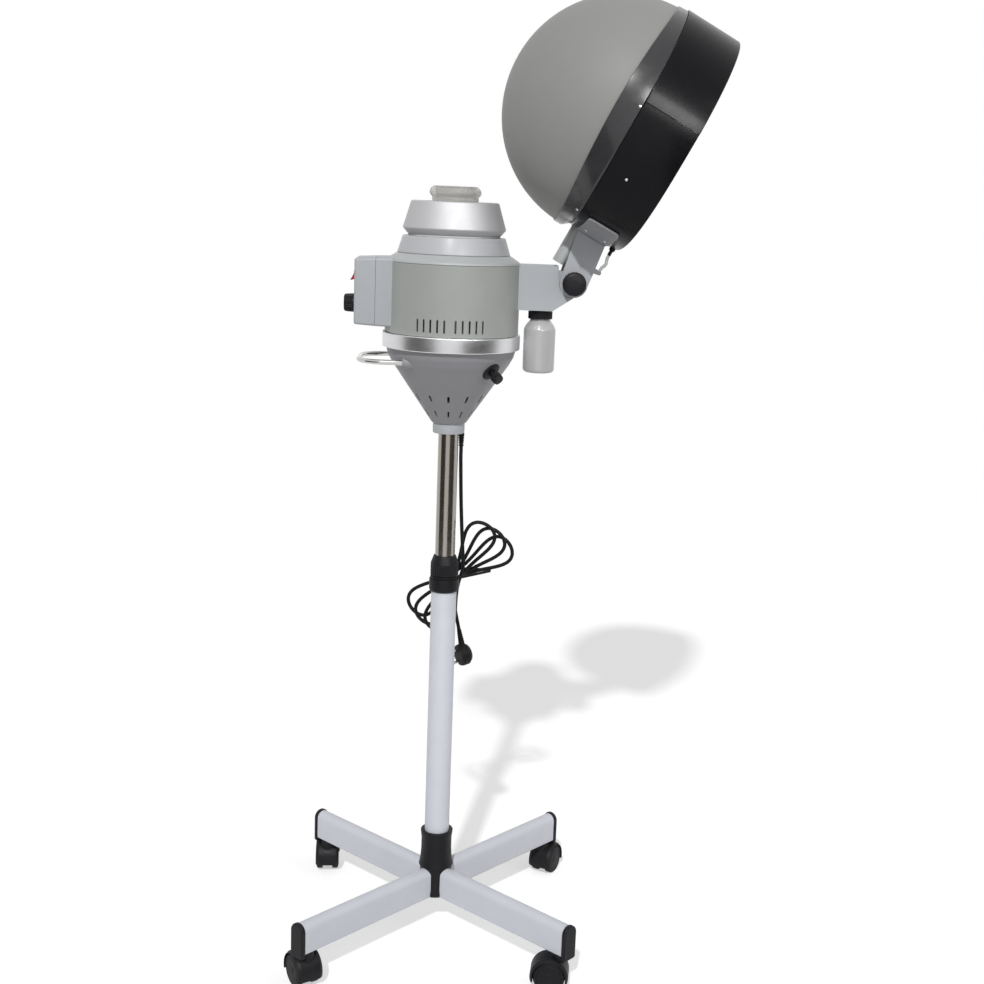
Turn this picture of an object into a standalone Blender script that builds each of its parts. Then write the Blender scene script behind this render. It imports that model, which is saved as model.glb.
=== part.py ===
"""Hair steamer on a rolling stand: a boiler head with a control box on one side and, on the other, an
arm that carries a tilting hood. Metres, +Z up. The origin is on the floor, midway along the object, and
the mast stands a little behind it. The hood opens towards +X."""

import math

import bmesh
import bpy
from mathutils import Matrix, Vector
from mathutils.geometry import convex_hull_2d, interpolate_bezier

# Clearances
FIT = 0.0003
RUNNING = 0.0005

# Rolling base
LEG_REACH = 0.300
LEG_WIDTH = 0.025
LEG_HEIGHT = 0.050
LEG_WALL = 0.0018
LEG_UNDERSIDE = 0.062
LEG_CAP_THICKNESS = 0.008
LEG_CAP_LIP = 0.0014
LEG_CAP_DROP = 0.005
LEG_PLUG_LENGTH = 0.040
HUB_RADIUS = 0.0268
HUB_FLARE_RADIUS = 0.0285
HUB_NECK_RADIUS = 0.0252
HUB_RIM_RADIUS = 0.0268
HUB_HEIGHT = 0.114
HUB_FLOOR = 0.008
HUB_STUB_LENGTH = 0.040
LEG_NAMES = ("front_right", "back_right", "back_left", "front_left")
LEG_ANGLES = (-45.0, 45.0, 135.0, 225.0)

# Twin-wheel casters, each turned its own way
CASTER_HEADINGS = (172.0, 60.0, 92.0, 120.0)
CASTER_INSET = 0.022
CASTER_TRAIL = 0.014
CASTER_WEB = 0.016
CASTER_SKIRT_HEIGHT = 0.016
CASTER_BOSS_RADIUS = 0.0105
FENDER_THICKNESS = 0.004
FENDER_GAP = 0.0015
FENDER_OVERHANG = 0.001
WHEEL_RADIUS = 0.025
WHEEL_WIDTH = 0.011
WHEEL_EDGE = 0.002
WHEEL_GAP = 0.0008
AXLE_RADIUS = 0.003
STEM_RADIUS = 0.005
STEM_IN_LEG = 0.024
STEM_IN_CASTER = 0.010

# Column, lock and mast
COLUMN_RADIUS = 0.0205
COLUMN_WALL = 0.0018
COLUMN_TOP = 0.604
SLEEVE_RADIUS = 0.0242
SLEEVE_BOTTOM = 0.591
GROOVE_RADIUS = 0.0209
GROOVE_BOTTOM = 0.6115
GROOVE_HEIGHT = 0.005
SPIGOT_WALL = 0.002
SPIGOT_HEIGHT = 0.022
LOCK_RING_RADIUS = 0.0226
LOCK_RING_TOP_RADIUS = 0.0178
LOCK_RING_GRIP_HEIGHT = 0.020
LOCK_RING_HEIGHT = 0.0335
MAST_RADIUS = 0.016
MAST_WALL = 0.0015
MAST_IN_COLUMN = 0.300
MAST_IN_HEAD = 0.050

# Head, as heights above the floor and radii about the mast
COLLAR_BOTTOM = 0.850
COLLAR_RADIUS = 0.025
COLLAR_HEIGHT = 0.0182
SOCKET_WALL = 0.0055
SOCKET_ROOF = 0.008
PAN_PROUD = 0.010
PAN_DROP = 0.027
PAN_THICKNESS = 0.003
CONE_BOTTOM_RADIUS = 0.0255
CONE_SHOULDER_INSET = 0.014
CONE_RISE = 0.0945
CONE_TOP_INSET = 0.005
CONE_ROLL = 0.0225
BAND_HEIGHT = 0.023
BAND_PROUD = 0.0035
BAND_LAND = 0.011
JACKET_RADIUS = 0.104
JACKET_HEIGHT = 0.1072
SHELL_WALL = 0.0025
VENT_COUNT = 5
VENT_PITCH = 6.1
VENT_START = 4.8
VENT_SHIFT = -1.8
VENT_WIDTH = 0.003
VENT_LENGTH = 0.0200
VENT_SILL = 0.0065
SHOULDER_HEIGHT = 0.0135
NECK_INSET = 0.017
NECK_DRAW = 0.0086
NECK_HEIGHT = 0.026
BOILER_INSET = 0.0184
BOILER_WALL = 0.0025
BOILER_SINK = 0.0005
BOILER_LIP = 0.004
SEAL_HEIGHT = 0.002
ELEMENT_INSET = 0.020
ELEMENT_ROD = 0.004

# Lid and its clear filler cap
LID_FOOT_INSET = 0.008
LID_PROUD = 0.0011
LID_DRAW = 0.0129
LID_EDGE_RISE = 0.009
LID_HEIGHT = 0.0505
LID_WALL = 0.003
CAP_NECK_RADIUS = 0.036
CAP_BEAD_RADIUS = 0.040
CAP_TOP_RADIUS = 0.034
CAP_HEIGHT = 0.0225
CAP_BEAD_HEIGHT = 0.0125
CAP_WALL = 0.0025
CAP_SPIGOT = 0.008

# Control box
BOX_WIDTH = 0.095
BOX_SILL = 0.0082
BOX_PROUD = 0.006
BOX_MOUNT_DEPTH = 0.014
BOX_COVER_DEPTH = 0.032
BOX_DRAFT = 0.0025
BOX_WALL = 0.0025
SWITCH_DROP = 0.0275
ROCKER_WIDTH = 0.013
ROCKER_HEIGHT = 0.021
ROCKER_BULGE = 0.0060
TIMER_RISE = 0.032
TIMER_KNOB_RADIUS = 0.0143
TIMER_KNOB_LENGTH = 0.017
TIMER_SHAFT_RADIUS = 0.003
TIMER_SHAFT_LENGTH = 0.010
TIMER_BODY_SIDE = 0.040
TIMER_BODY_DEPTH = 0.024

# Grab handle, drain and arm
HANDLE_ROD = 0.004
HANDLE_INSET = 0.028
HANDLE_RISE = 0.002
HANDLE_PROUD = 0.052
HANDLE_CORNER = 0.040
HANDLE_SOCKET = 0.008
BOSS_RADIUS = 0.0085
BOSS_INSET = 0.016
DRAIN_AZIMUTH = -45.0
DRAIN_DROP = 0.006
DRAIN_FLANGE_RADIUS = 0.0155
DRAIN_FLANGE_THICKNESS = 0.005
DRAIN_STEM_RADIUS = 0.0055
DRAIN_CAP_RADIUS = 0.0085
DRAIN_CAP_LENGTH = 0.018
ARM_WIDTH = 0.049
ARM_HEIGHT = 0.0695
ARM_PROUD = 0.002
ARM_WALL = 0.003
ARM_TOP_SETBACK = 0.024
ARM_BOTTOM_SETBACK = 0.031
ARM_TONGUE_WIDTH = 0.036
PIVOT_REACH = 0.082
PIVOT_DROP = 0.026
DUCT_RADIUS = 0.012
DUCT_WALL = 0.0015
DUCT_DROP = 0.028

# Condensate bottle under the arm
BOTTLE_SETBACK = 0.048
BOTTLE_CAP_RADIUS = 0.019
BOTTLE_CAP_HEIGHT = 0.0135
BOTTLE_NECK_RADIUS = 0.0155
BOTTLE_RADIUS = 0.0250
BOTTLE_SHOULDER = 0.014
BOTTLE_HEIGHT = 0.084
BOTTLE_WALL = 0.0015

# Hood, in its own level frame: the pivot is the origin, +X is the hood's front, +Z points to the dome
HOOD_REST_TILT = 62.0
HOOD_OFFSET = 0.0771
HOOD_CENTRE_Z = 0.0639
DOME_RADIUS = 0.181
HOOD_WALL = 0.003
DOME_SIDES = 36
SKIRT_PROUD = 0.003
SKIRT_DRAW = 0.007
SKIRT_SQUARENESS = 3.0
SKIRT_DEPTH = 0.095
SKIRT_LIP = 0.008
HOOD_COLLAR_DEPTH = 0.005
HOOD_COLLAR_BACK_DEPTH = 0.008
HOOD_COLLAR_RISE = 0.010
HOOD_COLLAR_SIDE_RISE = 0.020
HOOD_COLLAR_EDGE = 0.002
VISOR_ANGLE = 84.0
VISOR_PROUD = 0.002
SADDLE_STEPS = 6
WALL_STEPS = 30
SADDLE_LOW = -0.0125
SADDLE_HIGH = 0.040
SADDLE_THICKNESS = 0.0035
BRACKET_HALF_HEIGHT = 0.0218
BRACKET_FOOT_LOW = -0.0125
BRACKET_FOOT_HIGH = 0.036
BRACKET_SLOT_DEPTH = 0.040
STEAM_PIPE_RADIUS = 0.0112
STEAM_PIPE_WALL = 0.0015
STEAM_PIPE_OFFSET = 0.0345
STEAM_PIPE_START = 0.016
STEAM_PIPE_INSIDE = 0.014
NIPPLE_RADIUS = 0.0032
NIPPLE_RISE = 0.0056
NIPPLE_LENGTH = 0.013
NIPPLE_Y = -0.0165
DRAIN_HOSE_RADIUS = 0.0026
DRAIN_PORT_START = 0.027
DRAIN_PORT_SIZE = 0.010
CLAMP_BOLT_RADIUS = 0.004
CLAMP_KNOB_RADIUS = 0.0185
CLAMP_KNOB_LENGTH = 0.020
CLAMP_NUT_RADIUS = 0.008
CLAMP_NUT_LENGTH = 0.006

# Mains lead
CORD_RADIUS = 0.003
GLAND_RADIUS = 0.0046
GLAND_LENGTH = 0.022
GLAND_TAPER = 0.016
GLAND_X = 0.0207
GLAND_Y = 0.004
HANK_CENTRE_Z = 0.606
HANK_LOOPS = 3
HANK_LOOP_POINTS = 28
HANK_HALF_LENGTH = 0.100
HANK_WAIST = 0.006
HANK_LOBE = 0.048
HANK_FIRST_TILT = 77.0
HANK_TILT_STEP = -14.5
HANK_FIRST_Y = 0.0317
HANK_PITCH = 0.0069
HANK_SHIFT = 0.0147
HANK_TURN = -10.0
HANK_END_ANGLE = 80.0
TIE_THICKNESS = 0.0013
TIE_CLEARANCE = 0.0005
DROP_ROUTE = (
    (0.0214, 0.0068, 0.790),
    (0.0230, 0.0118, 0.748),
    (0.0252, 0.0172, 0.706),
    (0.0276, 0.0225, 0.668),
    (0.0296, 0.0262, 0.640),
)
TAIL_ROUTE = (
    (0.0226, 0.0512, 0.5985),
    (0.0166, 0.0535, 0.5906),
    (0.0135, 0.0553, 0.5811),
    (0.0139, 0.0560, 0.5710),
    (0.0162, 0.0559, 0.5603),
    (0.0193, 0.0554, 0.5456),
    (0.0224, 0.0548, 0.5309),
)
PLUG_TOP = (0.0271, 0.0540, 0.5090)
PLUG_LEAN = 12.0
PLUG_FACE = 28.0
RELIEF_LENGTH = 0.026
RELIEF_RADIUS = 0.0052
PLUG_RADIUS = 0.0185
PLUG_DEPTH = 0.020
PLUG_NOSE = 0.006
PIN_RADIUS = 0.0024
PIN_LENGTH = 0.019
PIN_SPACING = 0.019

# Places that follow from the sizes above
HUB_BOTTOM = LEG_UNDERSIDE
HUB_TOP = HUB_BOTTOM + HUB_HEIGHT
GROOVE_TOP = GROOVE_BOTTOM + GROOVE_HEIGHT
MAST_BOTTOM = COLUMN_TOP - MAST_IN_COLUMN
MAST_TOP = COLLAR_BOTTOM + MAST_IN_HEAD
CONE_BOTTOM = COLLAR_BOTTOM + COLLAR_HEIGHT + FIT
CONE_SHOULDER = CONE_BOTTOM + CONE_RISE
CONE_SHOULDER_RADIUS = JACKET_RADIUS - CONE_SHOULDER_INSET
CONE_TOP_RADIUS = JACKET_RADIUS - CONE_TOP_INSET
HANDLE_HEIGHT = CONE_SHOULDER + HANDLE_RISE
HANDLE_HALF_WIDTH = CONE_SHOULDER_RADIUS - HANDLE_INSET
HANDLE_REACH = CONE_SHOULDER_RADIUS + HANDLE_PROUD
BOSS_OUTER_X = CONE_SHOULDER_RADIUS - BOSS_INSET
DRAIN_HEIGHT = CONE_SHOULDER - DRAIN_DROP
BAND_BOTTOM = CONE_SHOULDER + CONE_ROLL
BAND_RADIUS = JACKET_RADIUS + BAND_PROUD
CONE_TOP = BAND_BOTTOM - FIT
BAND_TOP = BAND_BOTTOM + BAND_HEIGHT
JACKET_BOTTOM = BAND_TOP + FIT
JACKET_TOP = JACKET_BOTTOM + JACKET_HEIGHT
BOX_BOTTOM = JACKET_BOTTOM + BOX_SILL
BOX_TOP = JACKET_TOP + BOX_PROUD
BOX_SEAM_X = JACKET_RADIUS + BOX_MOUNT_DEPTH
BOX_PANEL_X = BOX_SEAM_X + BOX_COVER_DEPTH
SWITCH_Z = BOX_TOP - SWITCH_DROP
TIMER_Z = BOX_BOTTOM + TIMER_RISE
ARM_TOP = JACKET_TOP + ARM_PROUD
ARM_BOTTOM = ARM_TOP - ARM_HEIGHT
PIVOT_X = JACKET_RADIUS + PIVOT_REACH
PIVOT_Z = ARM_TOP - PIVOT_DROP
ARM_TOP_END = PIVOT_X - ARM_TOP_SETBACK
ARM_BOTTOM_END = PIVOT_X - ARM_BOTTOM_SETBACK
BOTTLE_X = PIVOT_X - BOTTLE_SETBACK
DUCT_Z = ARM_TOP - DUCT_DROP
SHOULDER_BOTTOM = JACKET_TOP + FIT
NECK_RADIUS = JACKET_RADIUS - NECK_INSET
NECK_TOP_RADIUS = NECK_RADIUS - NECK_DRAW
NECK_BOTTOM = SHOULDER_BOTTOM + SHOULDER_HEIGHT + FIT
NECK_TOP = NECK_BOTTOM + NECK_HEIGHT
BOILER_RADIUS = NECK_TOP_RADIUS - BOILER_INSET
BOILER_BOTTOM = BAND_BOTTOM - BOILER_SINK
ELEMENT_RADIUS = BOILER_RADIUS - ELEMENT_INSET
PAN_RADIUS = BOILER_RADIUS + PAN_PROUD
PAN_HEIGHT = BOILER_BOTTOM - PAN_DROP
LID_RADIUS = NECK_TOP_RADIUS + LID_PROUD
LID_FOOT_RADIUS = LID_RADIUS - LID_FOOT_INSET
LID_TOP_RADIUS = LID_RADIUS - LID_DRAW
SEAL_BOTTOM = NECK_TOP + FIT
LID_BOTTOM = SEAL_BOTTOM + SEAL_HEIGHT + FIT
LID_TOP = LID_BOTTOM + LID_HEIGHT
SKIRT_RADIUS = DOME_RADIUS + SKIRT_PROUD
SKIRT_BACK = DOME_RADIUS - SKIRT_DRAW
HOOD_CENTRE_X = SKIRT_BACK + HOOD_OFFSET
NIPPLE_OFFSET = HOOD_CENTRE_Z - SKIRT_DEPTH + NIPPLE_RISE
SADDLE_REACH = HOOD_CENTRE_X - SKIRT_BACK - FIT - SADDLE_THICKNESS
CASTER_SPREAD = (LEG_REACH - CASTER_INSET) * math.cos(math.radians(45.0))
FENDER_RADIUS = WHEEL_RADIUS + FENDER_GAP + FENDER_THICKNESS
FOOTPRINT = CASTER_SPREAD + CASTER_TRAIL + WHEEL_RADIUS
FOOTPRINT_BACK = CASTER_SPREAD + CASTER_TRAIL + FENDER_RADIUS
FOOTPRINT_FRONT = (LEG_REACH + LEG_WIDTH / 2 + LEG_CAP_LIP) * math.cos(math.radians(45.0))
TILT = math.radians(HOOD_REST_TILT)
HOOD_FRONT = (
    PIVOT_X
    + (HOOD_CENTRE_X + SKIRT_RADIUS + VISOR_PROUD) * math.cos(TILT)
    + (SKIRT_DEPTH - HOOD_CENTRE_Z) * math.sin(TILT)
)
MAST_X = (FOOTPRINT - HOOD_FRONT) / 2
MAST_Y = (FOOTPRINT_FRONT - FOOTPRINT_BACK) / 2

# Flat sides of the round pieces: the head, the pole, and what is smaller
HEAD_SIDES = 32
POLE_SIDES = 24
SMALL_SIDES = 20

# Finishes: colour, roughness, metallic
FINISHES = {
    "white_paint": ((0.72, 0.73, 0.78), 0.35, 0.0),
    "grey_paint": ((0.38, 0.40, 0.38), 0.45, 0.0),
    "light_grey_plastic": ((0.42, 0.43, 0.45), 0.42, 0.0),
    "dark_grey_plastic": ((0.22, 0.22, 0.23), 0.45, 0.0),
    "dome_grey_gloss": ((0.27, 0.27, 0.26), 0.25, 0.0),
    "black_plastic": ((0.014, 0.014, 0.016), 0.45, 0.0),
    "black_gloss": ((0.012, 0.012, 0.015), 0.18, 0.0),
    "black_rubber": ((0.012, 0.012, 0.013), 0.65, 0.0),
    "chrome": ((0.80, 0.80, 0.80), 0.08, 1.0),
    "aluminium": ((0.75, 0.75, 0.76), 0.30, 1.0),
    "steel": ((0.55, 0.55, 0.56), 0.35, 1.0),
    "clear_plastic": ((0.78, 0.78, 0.76), 0.10, 0.0),
    "milky_plastic": ((0.62, 0.62, 0.61), 0.40, 0.0),
    "red_plastic": ((0.40, 0.014, 0.030), 0.30, 0.0),
    "white_silicone": ((0.70, 0.70, 0.68), 0.55, 0.0),
}


def clear_scene():
    """Removes every object that the file opened with."""
    for thing in list(bpy.data.objects):
        bpy.data.objects.remove(thing, do_unlink=True)


def material(finish):
    """The Principled material of a finish, made once."""
    found = bpy.data.materials.get(finish)
    if found:
        return found
    colour, roughness, metallic = FINISHES[finish]
    made = bpy.data.materials.new(finish)
    made.use_nodes = True
    shader = made.node_tree.nodes["Principled BSDF"]
    shader.inputs["Base Color"].default_value = (*colour, 1.0)
    shader.inputs["Roughness"].default_value = roughness
    shader.inputs["Metallic"].default_value = metallic
    return made


def empty(name, parent=None, location=(0.0, 0.0, 0.0), turn=(0.0, 0.0, 0.0)):
    """A frame that pieces hang on, turned by angles in degrees."""
    frame = bpy.data.objects.new(name, None)
    frame.parent = parent
    frame.location = location
    frame.rotation_euler = [math.radians(angle) for angle in turn]
    bpy.context.scene.collection.objects.link(frame)
    return frame


def placed(name, data, parent, finish, location=(0.0, 0.0, 0.0), turn=(0.0, 0.0, 0.0)):
    """A piece with its finish, in its parent's frame."""
    piece = bpy.data.objects.new(name, data)
    piece.parent = parent
    piece.location = location
    piece.rotation_euler = [math.radians(angle) for angle in turn]
    if finish:
        data.materials.append(material(finish))
    bpy.context.scene.collection.objects.link(piece)
    return piece


def mesh_from(name, shape, smooth_angle=35.0):
    """Turns a bmesh into a mesh with outward faces, shaded smooth up to an angle."""
    bmesh.ops.recalc_face_normals(shape, faces=shape.faces)
    mesh = bpy.data.meshes.new(name)
    shape.to_mesh(mesh)
    shape.free()
    mesh.shade_smooth()
    mesh.set_sharp_from_angle(angle=math.radians(smooth_angle))
    return mesh


def bridged(shape, ring, following):
    """Faces between two rings of vertices, where a ring may be a single point on the axis."""
    count = max(len(ring), len(following))
    for i in range(count):
        j = (i + 1) % count
        corners = [ring[i % len(ring)], ring[j % len(ring)]]
        corners += [following[j % len(following)], following[i % len(following)]]
        corners = list(dict.fromkeys(corners))
        if len(corners) > 2:
            shape.faces.new(corners)


def turned_mesh(name, profile, sides=32):
    """A solid turned about Z from a closed outline of (radius, height) points."""
    shape = bmesh.new()
    rings = []
    for radius, height in profile:
        if radius == 0.0:
            rings.append([shape.verts.new((0.0, 0.0, height))])
            continue
        angles = [2 * math.pi * i / sides for i in range(sides)]
        points = [(radius * math.cos(a), radius * math.sin(a), height) for a in angles]
        rings.append([shape.verts.new(point) for point in points])
    for ring, following in zip(rings, rings[1:] + rings[:1]):
        if len(ring) + len(following) > 2:
            bridged(shape, ring, following)
    return mesh_from(name, shape)


def turned(name, profile, parent, finish, sides=32, location=(0.0, 0.0, 0.0), turn=(0.0, 0.0, 0.0)):
    """A turned piece in its parent's frame."""
    return placed(name, turned_mesh(name, profile, sides), parent, finish, location, turn)


def prism_mesh(name, outline, low, high, plane="XZ"):
    """An outline in a plane, extruded along the plane's normal from low to high."""
    shape = bmesh.new()
    caps = []
    for level in (low, high):
        if plane == "XZ":
            points = [(u, level, v) for u, v in outline]
        elif plane == "YZ":
            points = [(level, u, v) for u, v in outline]
        else:
            points = [(u, v, level) for u, v in outline]
        caps.append([shape.verts.new(point) for point in points])
    shape.faces.new(caps[0])
    shape.faces.new(caps[1])
    bridged(shape, caps[0], caps[1])
    return mesh_from(name, shape, 30.0)


def box_mesh(name, low, high):
    """A box between two corners."""
    outline = [(low[0], low[1]), (high[0], low[1]), (high[0], high[1]), (low[0], high[1])]
    return prism_mesh(name, outline, low[2], high[2], "XY")


def lofted_mesh(name, sections, closed):
    """A solid through sections of equally many points: a ring if closed, else with end caps."""
    shape = bmesh.new()
    rings = [[shape.verts.new(point) for point in section] for section in sections]
    for ring, following in zip(rings, rings[1:]):
        bridged(shape, ring, following)
    if closed:
        bridged(shape, rings[-1], rings[0])
    else:
        shape.faces.new(rings[0])
        shape.faces.new(rings[-1])
    return mesh_from(name, shape, 30.0)


def tube(name, points, radius, parent, finish, resolution):
    """A round rod or cord through points, with closed ends."""
    curve = bpy.data.curves.new(name, "CURVE")
    curve.dimensions = "3D"
    curve.bevel_depth = radius
    curve.bevel_resolution = resolution
    curve.use_fill_caps = True
    spline = curve.splines.new("POLY")
    spline.points.add(len(points) - 1)
    for spot, point in zip(spline.points, points):
        spot.co = (*point, 1.0)
    return placed(name, curve, parent, finish)


def combined(
    piece, tool_name, tool_mesh, operation="DIFFERENCE", location=(0.0, 0.0, 0.0), turn=(0.0, 0.0, 0.0)
):
    """Cuts a hidden tool from a piece or joins it on. The tool lies in the frame of the piece's parent."""
    tool = placed(tool_name, tool_mesh, piece.parent, None, location, turn)
    tool.hide_render = True
    tool.display_type = "WIRE"
    step = piece.modifiers.new(tool_name, "BOOLEAN")
    step.operation = operation
    step.solver = "EXACT"
    step.object = tool
    return piece


def arc(centre, radius, first, last, steps):
    """Points along an arc in a plane, angles in degrees."""
    angles = [math.radians(first + (last - first) * i / steps) for i in range(steps + 1)]
    return [(centre[0] + radius * math.cos(a), centre[1] + radius * math.sin(a)) for a in angles]


def rod_profile(radius, low, high, chamfer=0.0):
    """The outline of a solid round rod, chamfered at both ends."""
    if not chamfer:
        return [(0.0, low), (radius, low), (radius, high), (0.0, high)]
    return [
        (0.0, low),
        (radius - chamfer, low),
        (radius, low + chamfer),
        (radius, high - chamfer),
        (radius - chamfer, high),
        (0.0, high),
    ]


def pipe_profile(outer, inner, low, high):
    """The outline of a pipe's wall."""
    return [(outer, low), (outer, high), (inner, high), (inner, low)]


def smooth_route(route, spacing):
    """Evenly spaced points on a smooth curve through a route whose first and last stretch stay straight."""
    spots = [Vector(point) for point in route]
    slopes = [(after - before) / 2 for before, after in zip(spots, spots[2:])]
    slopes[0] = (spots[1] - spots[0]).normalized() * (spots[2] - spots[1]).length
    slopes[-1] = (spots[-1] - spots[-2]).normalized() * (spots[-2] - spots[-3]).length
    fine = []
    for start, end, leaving, arriving in zip(spots[1:], spots[2:-1], slopes, slopes[1:]):
        fine += interpolate_bezier(start, start + leaving / 3, end - arriving / 3, end, 24)[:-1]
    fine.append(spots[-2])
    total = length_of(fine)
    count = max(2, round(total / spacing))
    picked = [spots[0], fine[0]]
    walked = 0.0
    for a, b in zip(fine, fine[1:]):
        step = (b - a).length
        while walked + step >= total / count * (len(picked) - 1) and len(picked) <= count:
            picked.append(a.lerp(b, (total / count * (len(picked) - 1) - walked) / step))
        walked += step
    return [*picked, spots[-2], spots[-1]]


def length_of(points):
    """Length of a run of points."""
    return sum((b - a).length for a, b in zip(points, points[1:]))


def leg_outline(grow, drop=0.0):
    """Outline of a leg's tube across its length: flat underside, half-round top. Grown, or drawn down."""
    half = LEG_WIDTH / 2 + grow
    spring = LEG_UNDERSIDE + LEG_HEIGHT - LEG_WIDTH / 2
    corner = 0.003 + max(grow, -0.002)
    bottom = LEG_UNDERSIDE - grow - drop
    outline = arc((0.0, spring), half, 0.0, 180.0, 8)
    outline += arc((-half + corner, bottom + corner), corner, 180.0, 270.0, 1)
    outline += arc((half - corner, bottom + corner), corner, 270.0, 360.0, 1)
    return outline


def build_hub(stand):
    """The black hub: a socket for the column, with a stub for each leg."""
    bore = COLUMN_RADIUS + FIT
    leg_top = LEG_UNDERSIDE + LEG_HEIGHT
    profile = [
        (0.0, HUB_BOTTOM),
        (HUB_RADIUS, HUB_BOTTOM),
        (HUB_RADIUS, leg_top + FIT),
        (HUB_FLARE_RADIUS, leg_top + FIT),
        (HUB_FLARE_RADIUS, leg_top + 0.003),
        (HUB_NECK_RADIUS, leg_top + 0.012),
        (HUB_NECK_RADIUS, HUB_TOP - 0.012),
        (HUB_RIM_RADIUS, HUB_TOP - 0.001),
        (HUB_RIM_RADIUS - 0.001, HUB_TOP),
        (bore, HUB_TOP),
        (bore, HUB_BOTTOM + HUB_FLOOR),
        (0.0, HUB_BOTTOM + HUB_FLOOR),
    ]
    hub = turned("hub", profile, stand, "black_plastic", POLE_SIDES)
    inner = leg_outline(-LEG_WALL - FIT)
    for name, angle in zip(LEG_NAMES, LEG_ANGLES):
        stub = prism_mesh("stub_" + name, inner, bore + 0.003, HUB_RADIUS + HUB_STUB_LENGTH, "YZ")
        combined(hub, "stub_" + name, stub, "UNION", turn=(0.0, 0.0, angle))


def build_leg(stand, name, angle):
    """A hollow leg, and its end cap with the plug inside the leg that the caster's stem turns in."""
    frame = empty("leg_frame_" + name, stand, turn=(0.0, 0.0, angle))
    outer_end = LEG_REACH - LEG_CAP_THICKNESS - FIT
    caster_at = LEG_REACH - CASTER_INSET
    bar = prism_mesh("leg", leg_outline(0.0), 0.0, outer_end, "YZ")
    leg = placed("leg_" + name, bar, frame, "white_paint")
    bore = prism_mesh("leg_bore", leg_outline(-LEG_WALL), -0.01, outer_end + 0.01, "YZ")
    combined(leg, "leg_bore_" + name, bore)
    hub_rod = rod_profile(HUB_RADIUS + FIT, 0.0, 2 * LEG_UNDERSIDE + LEG_HEIGHT)
    hub_room = turned_mesh("hub_room", hub_rod, POLE_SIDES)
    combined(leg, "hub_room_" + name, hub_room)
    stem_rod = rod_profile(STEM_RADIUS + RUNNING, 0.0, LEG_UNDERSIDE + STEM_IN_LEG + FIT)
    stem_hole = turned_mesh("stem_hole", stem_rod, 12)
    combined(leg, "leg_stem_hole_" + name, stem_hole, location=(caster_at, 0.0, 0.0))

    plate = prism_mesh("leg_cap", leg_outline(LEG_CAP_LIP, LEG_CAP_DROP), outer_end + FIT, LEG_REACH, "YZ")
    cap = placed("leg_cap_" + name, plate, frame, "black_plastic")
    plug_end = outer_end - LEG_PLUG_LENGTH
    plug = prism_mesh("leg_plug", leg_outline(-LEG_WALL - FIT), plug_end, outer_end + 0.004, "YZ")
    combined(cap, "leg_plug_" + name, plug, "UNION")
    combined(cap, "cap_stem_hole_" + name, stem_hole.copy(), location=(caster_at, 0.0, 0.0))


def build_caster(stand, name, angle, heading):
    """A twin-wheel caster: the housing with its stem in the leg, and the pair of wheels on their axle."""
    reach = LEG_REACH - CASTER_INSET
    direction = math.radians(angle)
    swivel_at = (reach * math.cos(direction), reach * math.sin(direction), 0.0)
    swivel = empty("caster_frame_" + name, stand, swivel_at, (0.0, 0.0, heading))
    axle_at = (CASTER_TRAIL, 0.0, WHEEL_RADIUS)
    well = WHEEL_RADIUS + FENDER_GAP
    fender = FENDER_RADIUS
    wheel_out = CASTER_WEB / 2 + WHEEL_GAP + WHEEL_WIDTH
    half_width = wheel_out + FENDER_OVERHANG

    low = CASTER_SKIRT_HEIGHT - WHEEL_RADIUS
    side = math.degrees(math.asin(low / fender))
    outline = arc((CASTER_TRAIL, WHEEL_RADIUS), fender, side, 180.0 - side, 10)
    shroud = prism_mesh("caster", outline, -half_width, half_width)
    housing = placed("caster_" + name, shroud, swivel, "black_plastic")
    boss_top = LEG_UNDERSIDE - RUNNING
    boss = turned_mesh("caster_boss", rod_profile(CASTER_BOSS_RADIUS, WHEEL_RADIUS, boss_top), 14)
    combined(housing, "caster_boss_" + name, boss, "UNION")
    for label, sign in (("near", -1.0), ("far", 1.0)):
        start, end = sign * CASTER_WEB / 2, sign * (half_width + 0.01)
        cut = turned_mesh("wheel_well", rod_profile(well, min(start, end), max(start, end)), SMALL_SIDES)
        combined(housing, f"wheel_well_{label}_{name}", cut, location=axle_at, turn=(90.0, 0.0, 0.0))
    bore = turned_mesh("axle_hole", rod_profile(AXLE_RADIUS + RUNNING, -CASTER_WEB, CASTER_WEB), 14)
    combined(housing, "axle_hole_" + name, bore, location=axle_at, turn=(90.0, 0.0, 0.0))
    stem = rod_profile(STEM_RADIUS, boss_top - STEM_IN_CASTER, LEG_UNDERSIDE + STEM_IN_LEG, 0.0008)
    combined(housing, "caster_stem_" + name, turned_mesh("caster_stem", stem, 12), "UNION")

    inner = CASTER_WEB / 2 + WHEEL_GAP
    half = []
    half.append((AXLE_RADIUS, inner))
    half.append((WHEEL_RADIUS, inner))
    half.append((WHEEL_RADIUS, wheel_out - WHEEL_EDGE))
    half.append((WHEEL_RADIUS - WHEEL_EDGE, wheel_out))
    half.append((0.0, wheel_out))
    profile = [(radius, -height) for radius, height in reversed(half)] + half
    turned("wheels_" + name, profile, swivel, "black_rubber", SMALL_SIDES, axle_at, (90.0, 0.0, 0.0))


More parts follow.
